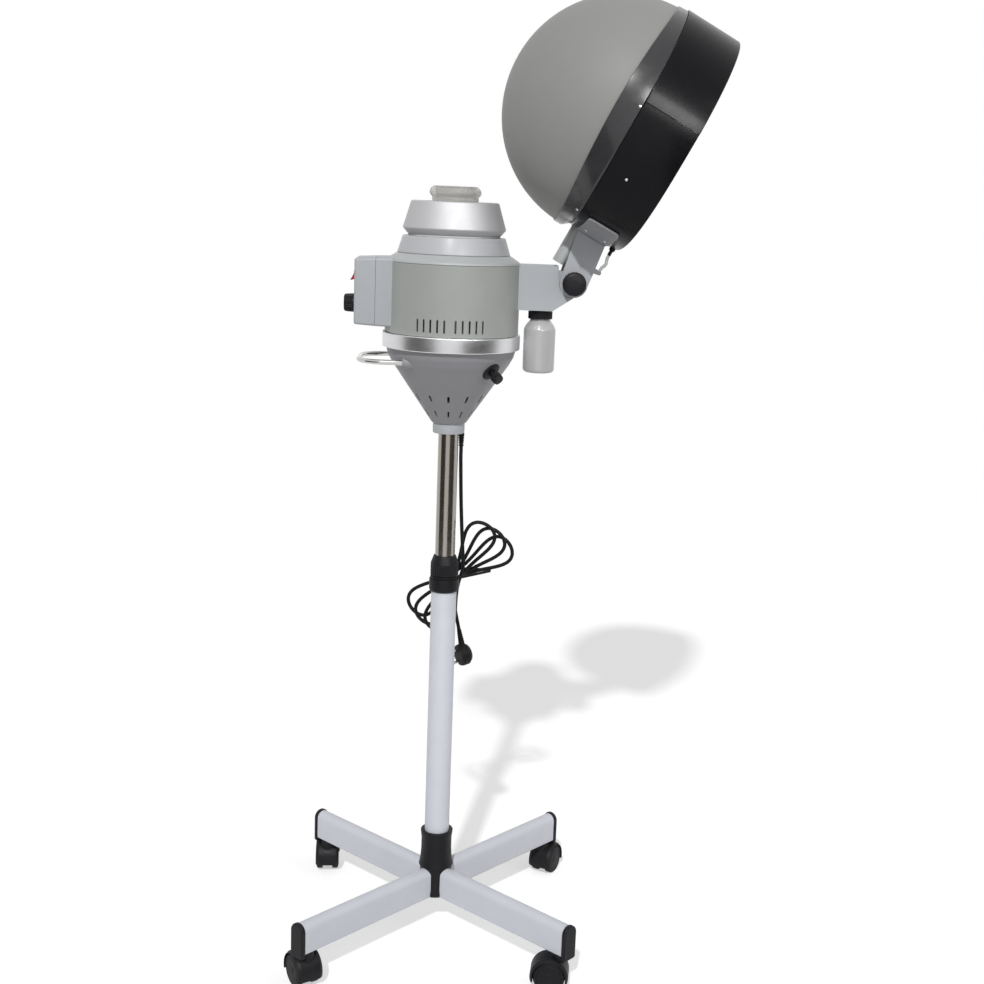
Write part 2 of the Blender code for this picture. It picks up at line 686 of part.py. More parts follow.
def build_column(stand):
    """The white column in the hub, and the lock sleeve on top of it."""
    bottom = HUB_BOTTOM + HUB_FLOOR + FIT
    profile = pipe_profile(COLUMN_RADIUS, COLUMN_RADIUS - COLUMN_WALL, bottom, COLUMN_TOP)
    turned("column_tube", profile, stand, "white_paint", POLE_SIDES)
    slip = MAST_RADIUS + RUNNING
    sleeve = [
        (COLUMN_RADIUS + FIT, SLEEVE_BOTTOM),
        (SLEEVE_RADIUS, SLEEVE_BOTTOM),
        (SLEEVE_RADIUS, GROOVE_BOTTOM),
        (GROOVE_RADIUS, GROOVE_BOTTOM),
        (GROOVE_RADIUS, GROOVE_TOP),
        (slip + SPIGOT_WALL, GROOVE_TOP),
        (slip + SPIGOT_WALL, GROOVE_TOP + SPIGOT_HEIGHT),
        (slip, GROOVE_TOP + SPIGOT_HEIGHT),
        (slip, COLUMN_TOP + FIT),
        (COLUMN_RADIUS + FIT, COLUMN_TOP + FIT),
    ]
    turned("lock_sleeve", sleeve, stand, "black_plastic", POLE_SIDES)


def build_lock_ring(stand):
    """The ring that is twisted to grip the mast."""
    slip = MAST_RADIUS + RUNNING
    low = GROOVE_TOP + FIT
    high = low + LOCK_RING_HEIGHT
    profile = [
        (slip + SPIGOT_WALL + RUNNING, low),
        (LOCK_RING_RADIUS - 0.0008, low),
        (LOCK_RING_RADIUS, low + 0.0008),
        (LOCK_RING_RADIUS, low + LOCK_RING_GRIP_HEIGHT),
        (LOCK_RING_TOP_RADIUS, high),
        (slip, high),
        (slip, low + SPIGOT_HEIGHT + RUNNING),
        (slip + SPIGOT_WALL + RUNNING, low + SPIGOT_HEIGHT + RUNNING),
    ]
    turned("lock_ring", profile, stand, "black_plastic", POLE_SIDES)


def build_mast(stand):
    """The chrome mast and the gland that lets the lead out beside it."""
    mast = pipe_profile(MAST_RADIUS, MAST_RADIUS - MAST_WALL, MAST_BOTTOM, MAST_TOP)
    turned("mast_tube", mast, stand, "chrome", POLE_SIDES)
    low, high = COLLAR_BOTTOM - FIT - GLAND_LENGTH, COLLAR_BOTTOM - FIT
    nose = CORD_RADIUS + 2 * FIT
    taper = low + GLAND_TAPER
    sleeve = [(0.0, low), (nose, low), (GLAND_RADIUS, taper), (GLAND_RADIUS, high), (0.0, high)]
    gland = turned("cord_gland", sleeve, stand, "black_rubber", 14, (GLAND_X, GLAND_Y, 0.0))
    room = turned_mesh("mast_room", rod_profile(MAST_RADIUS + FIT, low - 0.01, high + 0.01), POLE_SIDES)
    combined(gland, "mast_room", room)


def cone_outline(grow):
    """Outer line of the cone's shell from its foot to its top edge, moved out by an offset."""
    points = [(CONE_BOTTOM_RADIUS, CONE_BOTTOM), (CONE_SHOULDER_RADIUS, CONE_SHOULDER)]
    points.append((CONE_TOP_RADIUS - 0.003, (CONE_SHOULDER + CONE_TOP) / 2))
    points.append((CONE_TOP_RADIUS, CONE_TOP))
    return [(radius + grow, height) for radius, height in points]


def cone_radius(height):
    """Outer radius of the straight part of the cone at a height."""
    share = (height - CONE_BOTTOM) / (CONE_SHOULDER - CONE_BOTTOM)
    return CONE_BOTTOM_RADIUS + share * (CONE_SHOULDER_RADIUS - CONE_BOTTOM_RADIUS)


def cone_room(name):
    """The cone's outer shape with a fitting gap, as a tool for what sits on it."""
    outline = cone_outline(FIT)
    return turned_mesh(name, [(0.0, CONE_BOTTOM), *outline, (0.0, CONE_TOP)], HEAD_SIDES)


def build_head_core(head):
    """What carries the head: the socket on the mast, the pan on it, the boiler and its heater."""
    bore = MAST_RADIUS + RUNNING
    sleeve = bore + SOCKET_WALL
    roof = MAST_TOP + FIT
    socket = [
        (bore, COLLAR_BOTTOM),
        (COLLAR_RADIUS, COLLAR_BOTTOM),
        (COLLAR_RADIUS, COLLAR_BOTTOM + COLLAR_HEIGHT),
        (sleeve, COLLAR_BOTTOM + COLLAR_HEIGHT),
        (sleeve, PAN_HEIGHT - FIT),
        (0.0, PAN_HEIGHT - FIT),
        (0.0, roof),
        (bore, roof),
    ]
    turned("head_socket", socket, head, "light_grey_plastic", POLE_SIDES)
    post = BOILER_RADIUS * 0.5
    boiler_seat = BOILER_BOTTOM - FIT
    pan = [
        (0.0, PAN_HEIGHT),
        (PAN_RADIUS, PAN_HEIGHT),
        (PAN_RADIUS, PAN_HEIGHT + PAN_THICKNESS),
        (post, PAN_HEIGHT + PAN_THICKNESS),
        (post, boiler_seat),
        (post - PAN_THICKNESS, boiler_seat),
        (post - PAN_THICKNESS, PAN_HEIGHT + PAN_THICKNESS),
        (0.0, PAN_HEIGHT + PAN_THICKNESS),
    ]
    turned("boiler_stand", pan, head, "steel", POLE_SIDES)
    lip = NECK_TOP
    inner = BOILER_RADIUS - BOILER_WALL
    boiler = [
        (0.0, BOILER_BOTTOM),
        (BOILER_RADIUS, BOILER_BOTTOM),
        (BOILER_RADIUS, lip - BOILER_WALL),
        (BOILER_RADIUS + BOILER_LIP, lip - BOILER_WALL),
        (BOILER_RADIUS + BOILER_LIP, lip),
        (inner, lip),
        (inner, BOILER_BOTTOM + BOILER_WALL),
        (0.0, BOILER_BOTTOM + BOILER_WALL),
    ]
    pot = turned("boiler", boiler, head, "aluminium", HEAD_SIDES)
    outlet_rod = rod_profile(DUCT_RADIUS - DUCT_WALL, 0.0, BOILER_RADIUS + 0.02)
    outlet = turned_mesh("steam_outlet", outlet_rod, 12)
    combined(pot, "steam_outlet", outlet, location=(0.0, 0.0, DUCT_Z), turn=(0.0, 90.0, 0.0))
    centre = boiler_seat - ELEMENT_ROD
    ring = [(ELEMENT_RADIUS + u, v) for u, v in arc((0.0, centre), ELEMENT_ROD, 0.0, 300.0, 5)]
    turned("heating_element", ring, head, "steel", POLE_SIDES)
    seal = pipe_profile(LID_FOOT_RADIUS - 0.0005, inner, SEAL_BOTTOM, SEAL_BOTTOM + SEAL_HEIGHT)
    turned("lid_seal", seal, head, "white_silicone", HEAD_SIDES)


def build_head_shells(head):
    """The cone with its handle bosses, the bright band, the vented jacket, the shoulder, the neck ring."""
    outer = cone_outline(0.0)
    inner = [(radius - SHELL_WALL, height) for radius, height in outer]
    sleeve = MAST_RADIUS + RUNNING + SOCKET_WALL + FIT
    inner[0] = (sleeve, CONE_BOTTOM)
    inner.insert(1, (sleeve, CONE_BOTTOM + 0.003))
    cone = turned("head_cone", outer + inner[::-1], head, "dark_grey_plastic", HEAD_SIDES)
    inner = math.sqrt(cone_radius(HANDLE_HEIGHT - BOSS_RADIUS) ** 2 - HANDLE_HALF_WIDTH**2)
    socket = BOSS_OUTER_X - HANDLE_SOCKET - FIT
    for name, side in (("front", -1.0), ("back", 1.0)):
        where = (0.0, side * HANDLE_HALF_WIDTH, HANDLE_HEIGHT)
        boss = turned_mesh("handle_boss", rod_profile(BOSS_RADIUS, -BOSS_OUTER_X, 0.006 - inner), 18)
        combined(cone, "handle_boss_" + name, boss, "UNION", where, (0.0, 90.0, 0.0))
        socket_rod = rod_profile(HANDLE_ROD + FIT, -BOSS_OUTER_X - 0.01, -socket)
        bore = turned_mesh("handle_socket", socket_rod, 16)
        combined(cone, "handle_socket_" + name, bore, "DIFFERENCE", where, (0.0, 90.0, 0.0))

    land = BAND_RADIUS - BAND_LAND
    edge = 0.0012
    band = [
        (land, BAND_BOTTOM),
        (BAND_RADIUS - edge, BAND_BOTTOM),
        (BAND_RADIUS, BAND_BOTTOM + edge),
        (BAND_RADIUS, BAND_TOP - edge),
        (BAND_RADIUS - edge, BAND_TOP),
        (land, BAND_TOP),
    ]
    turned("head_band", band, head, "aluminium", HEAD_SIDES)

    shell = pipe_profile(JACKET_RADIUS, JACKET_RADIUS - SHELL_WALL, JACKET_BOTTOM, JACKET_TOP)
    jacket = turned("jacket", shell, head, "grey_paint", HEAD_SIDES)
    low = JACKET_BOTTOM + VENT_SILL
    vent = box_mesh(
        "vent",
        (JACKET_RADIUS - 3 * SHELL_WALL, -VENT_WIDTH / 2, low),
        (JACKET_RADIUS + 3 * SHELL_WALL, VENT_WIDTH / 2, low + VENT_LENGTH),
    )
    for face in (-90.0, 90.0):
        for side in (-1.0, 1.0):
            for i in range(VENT_COUNT):
                azimuth = face + VENT_SHIFT + side * (VENT_START + i * VENT_PITCH)
                combined(jacket, f"vent_{face:.0f}_{side:.0f}_{i}", vent.copy(), turn=(0.0, 0.0, azimuth))
    duct_hole = turned_mesh("duct_hole", rod_profile(DUCT_RADIUS + FIT, 0.0, 2 * JACKET_RADIUS), 24)
    combined(jacket, "duct_hole", duct_hole, location=(0.0, 0.0, DUCT_Z), turn=(0.0, 90.0, 0.0))

    top = SHOULDER_BOTTOM + SHOULDER_HEIGHT
    shoulder = [
        (JACKET_RADIUS - SHELL_WALL, SHOULDER_BOTTOM),
        (JACKET_RADIUS, SHOULDER_BOTTOM),
        (JACKET_RADIUS - 0.004, SHOULDER_BOTTOM + 0.005),
        (NECK_RADIUS, top),
        (NECK_RADIUS - 2 * SHELL_WALL, top),
        (NECK_RADIUS - 2 * SHELL_WALL, top - SHELL_WALL),
    ]
    turned("shoulder", shoulder, head, "light_grey_plastic", HEAD_SIDES)
    hole = BOILER_RADIUS + BOILER_LIP + FIT
    neck = [
        (NECK_RADIUS - 2 * SHELL_WALL, NECK_BOTTOM),
        (NECK_RADIUS, NECK_BOTTOM),
        (NECK_TOP_RADIUS + 0.001, NECK_TOP - 0.001),
        (NECK_TOP_RADIUS, NECK_TOP),
        (hole, NECK_TOP),
        (hole, NECK_TOP - 2 * SHELL_WALL),
        (NECK_TOP_RADIUS - SHELL_WALL, NECK_TOP - 2 * SHELL_WALL),
    ]
    turned("neck_ring", neck, head, "light_grey_plastic", HEAD_SIDES)


def build_lid(head):
    """The aluminium lid and the clear cap in its middle."""
    hole = CAP_NECK_RADIUS - CAP_WALL + FIT
    lid = [
        (LID_FOOT_RADIUS - 2 * LID_WALL, LID_BOTTOM),
        (LID_FOOT_RADIUS, LID_BOTTOM),
        (LID_RADIUS, LID_BOTTOM + LID_EDGE_RISE),
        (LID_TOP_RADIUS + 0.001, LID_TOP - 0.001),
        (LID_TOP_RADIUS - 0.001, LID_TOP),
        (hole, LID_TOP),
        (hole, LID_TOP - LID_WALL),
        (LID_TOP_RADIUS - LID_WALL, LID_TOP - LID_WALL),
        (LID_RADIUS - LID_WALL, LID_BOTTOM + LID_EDGE_RISE + 0.001),
    ]
    turned("lid", lid, head, "aluminium", HEAD_SIDES)
    low = LID_TOP + FIT
    spigot = hole - FIT
    top = low + CAP_HEIGHT
    bead = low + CAP_BEAD_HEIGHT
    cap = [
        (0.0, top),
        (CAP_TOP_RADIUS, top),
        (CAP_BEAD_RADIUS - 0.001, top - 0.004),
        (CAP_BEAD_RADIUS, bead),
        (CAP_BEAD_RADIUS - 0.002, bead - 0.004),
        (CAP_NECK_RADIUS, bead - 0.006),
        (CAP_NECK_RADIUS, low),
        (spigot, low),
        (spigot, low - CAP_SPIGOT),
        (spigot - CAP_WALL, low - CAP_SPIGOT),
        (spigot - CAP_WALL, top - CAP_WALL),
        (0.0, top - CAP_WALL),
    ]
    turned("filler_cap", cap, head, "clear_plastic", POLE_SIDES)


def jacket_room(name):
    """The jacket's outer shape with a fitting gap, as a tool for what sits against it."""
    rod = rod_profile(JACKET_RADIUS + FIT, JACKET_BOTTOM - 0.1, NECK_TOP + 0.1)
    return turned_mesh(name, rod, HEAD_SIDES)


def box_section(x, inset):
    """The control box across X: it draws in a little towards the panel."""
    share = (-x - JACKET_RADIUS) / (BOX_PANEL_X - JACKET_RADIUS)
    draft = inset + max(0.0, share) * BOX_DRAFT
    half = BOX_WIDTH / 2 - draft
    low, high = BOX_BOTTOM + draft, BOX_TOP - draft
    return [(x, -half, low), (x, half, low), (x, half, high), (x, -half, high)]


def build_control_box(head):
    """The box on the head's side: its mount on the jacket, its cover, the switch and the timer."""
    seam, panel = -BOX_SEAM_X, -BOX_PANEL_X
    base_ends = [box_section(-JACKET_RADIUS * 0.8, 0.0), box_section(seam + FIT, 0.0)]
    base_mesh = lofted_mesh("box_base", base_ends, False)
    base = placed("box_base", base_mesh, head, "light_grey_plastic")
    hollow = [box_section(-JACKET_RADIUS * 0.7, BOX_WALL), box_section(seam - 0.01, BOX_WALL)]
    combined(base, "box_base_hollow", lofted_mesh("box_base_hollow", hollow, False))
    combined(base, "box_jacket_room", jacket_room("box_jacket_room"))

    cover_mesh = lofted_mesh("box_cover", [box_section(seam, 0.0), box_section(panel, 0.0)], False)
    cover = placed("box_cover", cover_mesh, head, "light_grey_plastic")
    hollow = [box_section(seam + 0.01, BOX_WALL), box_section(panel + BOX_WALL, BOX_WALL)]
    combined(cover, "box_cover_hollow", lofted_mesh("box_cover_hollow", hollow, False))
    half_y, half_z = ROCKER_WIDTH / 2 + RUNNING, ROCKER_HEIGHT / 2 + RUNNING
    window_low = (panel - 0.01, -half_y, SWITCH_Z - half_z)
    window = box_mesh("switch_window", window_low, (panel + 0.01, half_y, SWITCH_Z + half_z))
    combined(cover, "switch_window", window)
    shaft_hole = turned_mesh("timer_hole", rod_profile(TIMER_SHAFT_RADIUS + RUNNING, -0.01, 0.01), 16)
    combined(cover, "timer_hole", shaft_hole, location=(panel, 0.0, TIMER_Z), turn=(0.0, 90.0, 0.0))

    tip = ROCKER_HEIGHT / 2
    rocker = [
        (0.005, tip - 0.002),
        (-0.0010, tip),
        (-0.0030, 0.0),
        (-ROCKER_BULGE, -tip + 0.0006),
        (-ROCKER_BULGE + 0.001, -tip),
        (0.005, -tip + 0.003),
        (0.0078, 0.0),
    ]
    rocker_mesh = prism_mesh("rocker", rocker, -ROCKER_WIDTH / 2, ROCKER_WIDTH / 2)
    placed("rocker", rocker_mesh, head, "red_plastic", (panel, 0.0, SWITCH_Z))

    timer_front = panel + BOX_WALL + FIT
    side = TIMER_BODY_SIDE / 2
    timer_mesh = box_mesh(
        "timer_body",
        (timer_front, -side, TIMER_Z - side * 0.75),
        (timer_front + TIMER_BODY_DEPTH, side, TIMER_Z + side),
    )
    timer = placed("timer_body", timer_mesh, head, "black_plastic")
    shaft_end = panel + BOX_WALL + TIMER_SHAFT_LENGTH
    bore_rod = rod_profile(TIMER_SHAFT_RADIUS + RUNNING, panel - 0.01, shaft_end + FIT)
    bore = turned_mesh("timer_bore", bore_rod, 16)
    combined(timer, "timer_bore", bore, location=(0.0, 0.0, TIMER_Z), turn=(0.0, 90.0, 0.0))
    face = panel - RUNNING
    knob = [
        (0.0, face - TIMER_KNOB_LENGTH),
        (TIMER_KNOB_RADIUS - 0.0025, face - TIMER_KNOB_LENGTH),
        (TIMER_KNOB_RADIUS - 0.001, face - TIMER_KNOB_LENGTH + 0.0015),
        (TIMER_KNOB_RADIUS, face - 0.001),
        (TIMER_KNOB_RADIUS - 0.001, face),
        (TIMER_SHAFT_RADIUS, face),
        (TIMER_SHAFT_RADIUS, shaft_end),
        (0.0, shaft_end),
    ]
    knob = [(radius, height - panel) for radius, height in knob]
    turned("timer_knob", knob, head, "black_plastic", SMALL_SIDES, (panel, 0.0, TIMER_Z), (0.0, 90.0, 0.0))


def build_handle(head):
    """The bent chrome grab handle between the cone's two bosses."""
    far = HANDLE_REACH - HANDLE_CORNER
    width = HANDLE_HALF_WIDTH
    start = BOSS_OUTER_X - HANDLE_SOCKET
    turn_a = arc((-far, width - HANDLE_CORNER), HANDLE_CORNER, 90.0, 180.0, 7)
    turn_b = arc((-far, HANDLE_CORNER - width), HANDLE_CORNER, 180.0, 270.0, 7)
    path = [(-start, width), *turn_a, *turn_b, (-start, -width)]
    tube("grab_handle", [(x, y, HANDLE_HEIGHT) for x, y in path], HANDLE_ROD, head, "chrome", 2)


def build_drain(head):
    """The drain outlet on the cone and the cap that closes it."""
    azimuth = math.radians(DRAIN_AZIMUTH)
    radius = cone_radius(DRAIN_HEIGHT)
    spot = (radius * math.cos(azimuth), radius * math.sin(azimuth), DRAIN_HEIGHT)
    slope = math.degrees(math.atan2(CONE_SHOULDER_RADIUS - CONE_BOTTOM_RADIUS, CONE_SHOULDER - CONE_BOTTOM))
    facing = (0.0, 90.0 + slope, DRAIN_AZIMUTH)
    sink = 0.004
    top = DRAIN_FLANGE_THICKNESS
    body = [
        (0.0, -sink),
        (DRAIN_FLANGE_RADIUS, -sink),
        (DRAIN_FLANGE_RADIUS, top - 0.001),
        (DRAIN_FLANGE_RADIUS - 0.001, top),
        (DRAIN_STEM_RADIUS + FIT, top),
        (DRAIN_STEM_RADIUS + FIT, 0.0015),
        (0.0, 0.0015),
    ]
    disc = turned_mesh("drain_flange", body, 24)
    flange = placed("drain_flange", disc, head, "black_plastic", spot, facing)
    combined(flange, "drain_cone_room", cone_room("drain_cone_room"))
    end = top + RUNNING + DRAIN_CAP_LENGTH
    cap = [
        (0.0, 0.0015 + FIT),
        (DRAIN_STEM_RADIUS, 0.0015 + FIT),
        (DRAIN_STEM_RADIUS, top + 0.006),
        (DRAIN_CAP_RADIUS, top + 0.007),
        (DRAIN_CAP_RADIUS, end - 0.001),
        (DRAIN_CAP_RADIUS - 0.001, end),
        (0.0, end),
    ]
    placed("drain_cap", turned_mesh("drain_cap", cap, 20), head, "black_plastic", spot, facing)


def tangent_angle(point, centre, radius, side=1.0):
    """Angle, in degrees, at which one of the two tangents from a point touches a circle."""
    dx, dz = point[0] - centre[0], point[1] - centre[1]
    return math.degrees(math.atan2(dz, dx) + side * math.acos(radius / math.hypot(dx, dz)))


def build_arm(head):
    """The hollow arm with its tongue at the pivot, the steam duct in it, and the bottle's cap below."""
    pivot = (PIVOT_X, PIVOT_Z)
    room = BRACKET_HALF_HEIGHT + RUNNING
    corner = (ARM_BOTTOM_END, ARM_BOTTOM)
    touch = tangent_angle(corner, pivot, room * 0.85)
    start = JACKET_RADIUS * 0.8
    body = [(start, ARM_TOP), (start, ARM_BOTTOM), corner]
    body += [arc(pivot, room * 0.85, touch, touch, 1)[0], (PIVOT_X - room * 0.9, PIVOT_Z)]
    body += [(ARM_TOP_END, PIVOT_Z + room * 0.45), (ARM_TOP_END, ARM_TOP)]
    half = ARM_WIDTH / 2
    arm = placed("arm", prism_mesh("arm", body, -half, half), head, "light_grey_plastic")
    hollow_end = ARM_TOP_END - 2 * ARM_WALL
    hollow = box_mesh(
        "arm_hollow",
        (0.0, -half + ARM_WALL, ARM_BOTTOM + ARM_WALL),
        (hollow_end - 0.008, half - ARM_WALL, ARM_TOP - ARM_WALL),
    )
    combined(arm, "arm_hollow", hollow)
    knuckle = turned_mesh("knuckle_room", rod_profile(room, -ARM_WIDTH, ARM_WIDTH), 36)
    combined(arm, "knuckle_room", knuckle, location=(PIVOT_X, 0.0, PIVOT_Z), turn=(90.0, 0.0, 0.0))
    lug = BRACKET_HALF_HEIGHT - RUNNING
    neck = hollow_end - 0.004
    tongue_half = ARM_TONGUE_WIDTH / 2
    tongue = [(neck, PIVOT_Z + lug * 0.8), (neck, PIVOT_Z - lug), *arc(pivot, lug, 250.0, 480.0, 14)]
    combined(arm, "tongue", prism_mesh("tongue", tongue, -tongue_half, tongue_half), "UNION")
    bolt_rod = rod_profile(CLAMP_BOLT_RADIUS + RUNNING, -ARM_WIDTH, ARM_WIDTH)
    bolt_hole = turned_mesh("arm_bolt_hole", bolt_rod, 16)
    combined(arm, "arm_bolt_hole", bolt_hole, location=(PIVOT_X, 0.0, PIVOT_Z), turn=(90.0, 0.0, 0.0))
    combined(arm, "arm_jacket_room", jacket_room("arm_jacket_room"))

    duct_end = hollow_end - 0.008 - FIT
    duct = pipe_profile(DUCT_RADIUS, DUCT_RADIUS - DUCT_WALL, BOILER_RADIUS + 0.002, duct_end)
    duct_at = (0.0, 0.0, DUCT_Z)
    pipe = turned("steam_duct", duct, head, "white_silicone", SMALL_SIDES, duct_at, (0.0, 90.0, 0.0))
    pot_rod = rod_profile(BOILER_RADIUS + FIT, BOILER_BOTTOM, NECK_BOTTOM)
    pot_room = turned_mesh("pot_room", pot_rod, HEAD_SIDES)
    combined(pipe, "pot_room", pot_room)

    top = ARM_BOTTOM - FIT
    bottom = top - BOTTLE_CAP_HEIGHT
    bore = BOTTLE_NECK_RADIUS + FIT
    cap = [
        (0.0, top),
        (BOTTLE_CAP_RADIUS - 0.001, top),
        (BOTTLE_CAP_RADIUS, top - 0.001),
        (BOTTLE_CAP_RADIUS, bottom),
        (bore, bottom),
        (bore, top - 0.003),
        (0.0, top - 0.003),
    ]
    turned("bottle_cap", cap, head, "black_plastic", SMALL_SIDES, (BOTTLE_X, 0.0, 0.0))


def build_bottle(head):
    """The milky bottle that catches condensate, open at its neck."""
    cap_bottom = ARM_BOTTOM - FIT - BOTTLE_CAP_HEIGHT
    neck_top = ARM_BOTTOM - FIT - 0.003 - FIT
    shoulder = cap_bottom - 0.002
    bottom = cap_bottom - BOTTLE_HEIGHT
    outer = [
        (BOTTLE_NECK_RADIUS, neck_top),
        (BOTTLE_NECK_RADIUS, shoulder),
        (BOTTLE_RADIUS - 0.003, shoulder - BOTTLE_SHOULDER * 0.55),
        (BOTTLE_RADIUS, shoulder - BOTTLE_SHOULDER),
        (BOTTLE_RADIUS, bottom + 0.004),
        (BOTTLE_RADIUS - 0.003, bottom),
        (0.0, bottom),
    ]
    inner = [(max(0.0, radius - BOTTLE_WALL), height) for radius, height in outer]
    inner[-2:] = [(BOTTLE_RADIUS - 0.004, bottom + BOTTLE_WALL), (0.0, bottom + BOTTLE_WALL)]
    turned("bottle", outer + inner[::-1], head, "milky_plastic", SMALL_SIDES, (BOTTLE_X, 0.0, 0.0))


def skirt_radius(angle):
    """Radius of the hood's outline at an angle from its front: round in front, squarer behind."""
    c, s = math.cos(math.radians(angle)), math.sin(math.radians(angle))
    if c >= 0.0:
        return SKIRT_RADIUS
    power = SKIRT_SQUARENESS
    return ((abs(c) / SKIRT_BACK) ** power + (abs(s) / SKIRT_RADIUS) ** power) ** (-1 / power)


def collar_depth(angle):
    """How far the collar reaches below the dome's rim: deeper behind, where it draws in."""
    return HOOD_COLLAR_DEPTH + HOOD_COLLAR_BACK_DEPTH * max(0.0, -math.cos(math.radians(angle))) ** 3


def hood_point(radius, angle, height):
    """A point about the dome's axis, in the hood's frame. Height zero is the dome's rim."""
    a = math.radians(angle)
    return (HOOD_CENTRE_X + radius * math.cos(a), radius * math.sin(a), HOOD_CENTRE_Z + height)


def hood_band(name, section, first, last, steps, hood, finish):
    """A band about the dome's axis, whose section is a function of the angle."""
    closed = last - first >= 360.0
    stations = [first + (last - first) * i / steps for i in range(steps + (0 if closed else 1))]
    sections = [[hood_point(r, angle, z) for r, z in section(angle)] for angle in stations]
    return placed(name, lofted_mesh(name, sections, closed), hood, finish)


def collar_section(angle):
    """The black collar that holds the dome: it climbs a little higher on the two sides."""
    rise = HOOD_COLLAR_RISE + HOOD_COLLAR_SIDE_RISE * math.sin(math.radians(angle)) ** 2
    seat = math.sqrt(DOME_RADIUS**2 - rise**2) + FIT
    outer = skirt_radius(angle)
    depth = collar_depth(angle)
    ledge = DOME_RADIUS - HOOD_WALL
    return [
        (seat, rise),
        (seat + HOOD_COLLAR_EDGE, rise),
        (max(outer, DOME_RADIUS + HOOD_COLLAR_EDGE), -HOOD_COLLAR_DEPTH * 0.5),
        (outer, -depth),
        (outer - HOOD_WALL, -depth),
        (ledge, -depth * 0.45),
        (ledge, -FIT),
        (DOME_RADIUS + FIT, -FIT),
    ]


def wall_section(proud):
    """The section of the hood's wall below the collar, with a lip turned in at its lower edge."""

    def section(angle):
        outer = skirt_radius(angle) + proud
        top = -collar_depth(angle) - FIT
        inner = outer - HOOD_WALL
        return [
            (outer, top),
            (outer, -SKIRT_DEPTH + 0.0015),
            (outer - 0.0015, -SKIRT_DEPTH),
            (inner - SKIRT_LIP, -SKIRT_DEPTH),
            (inner - SKIRT_LIP, -SKIRT_DEPTH + HOOD_WALL),
            (inner, -SKIRT_DEPTH + HOOD_WALL),
            (inner, top),
        ]

    return section


def saddle_section(angle):
    """The section of the plate that spreads the bracket's load over the back wall."""
    inner = skirt_radius(angle) + FIT
    low, high = SADDLE_LOW - HOOD_CENTRE_Z, SADDLE_HIGH - HOOD_CENTRE_Z
    outer = inner + SADDLE_THICKNESS
    return [(inner, high), (outer, high), (outer, low), (inner, low)]


def pipe_room(name):
    """The room that the steam pipe takes on its way through the bracket, the saddle and the back wall."""
    start, end = STEAM_PIPE_START / 2, HOOD_CENTRE_X - SKIRT_BACK + 0.02
    return turned_mesh(name, rod_profile(STEAM_PIPE_RADIUS + FIT, start, end), 20)


def build_hood(hood):
    """The dome, its collar, the back wall, the front visor and the saddle on the back wall."""
    steps = 7
    outer = arc((0.0, 0.0), DOME_RADIUS, 0.0, 90.0, steps)
    inner = arc((0.0, 0.0), DOME_RADIUS - HOOD_WALL, 90.0, 0.0, steps)
    outer[-1] = (0.0, DOME_RADIUS)
    inner[0] = (0.0, DOME_RADIUS - HOOD_WALL)
    turned("dome", outer + inner, hood, "dome_grey_gloss", DOME_SIDES, (HOOD_CENTRE_X, 0.0, HOOD_CENTRE_Z))
    hood_band("hood_collar", collar_section, 0.0, 360.0, DOME_SIDES, hood, "black_gloss")
    slit = math.degrees(FIT / SKIRT_RADIUS)
    back = 180.0 - VISOR_ANGLE - slit
    saddle = back * 2 * SADDLE_STEPS / WALL_STEPS
    first, last = 180.0 - back, 180.0 + back
    wall = hood_band("hood_back_wall", wall_section(0.0), first, last, WALL_STEPS, hood, "black_gloss")
    hood_band("visor", wall_section(VISOR_PROUD), -VISOR_ANGLE, VISOR_ANGLE, 24, hood, "black_gloss")
    first, last = 180.0 - saddle, 180.0 + saddle
    steps = 2 * SADDLE_STEPS
    plate = hood_band("hood_saddle", saddle_section, first, last, steps, hood, "dark_grey_plastic")
    wall_x = HOOD_CENTRE_X - SKIRT_BACK
    pipe_at = (0.0, 0.0, STEAM_PIPE_OFFSET)
    combined(wall, "pipe_hole", pipe_room("pipe_hole"), location=pipe_at, turn=(0.0, 90.0, 0.0))
    combined(plate, "pipe_notch", pipe_room("pipe_notch"), location=pipe_at, turn=(0.0, 90.0, 0.0))
    nipple_at = (0.0, NIPPLE_Y, NIPPLE_OFFSET)
    nipple = turned_mesh("nipple", rod_profile(NIPPLE_RADIUS, wall_x - NIPPLE_LENGTH, wall_x + 0.001), 14)
    combined(wall, "nipple", nipple, "UNION", nipple_at, (0.0, 90.0, 0.0))
    bore = turned_mesh("nipple_bore", rod_profile(NIPPLE_RADIUS * 0.5, wall_x - 0.02, wall_x + 0.02), 10)
    combined(wall, "nipple_bore", bore, "DIFFERENCE", nipple_at, (0.0, 90.0, 0.0))


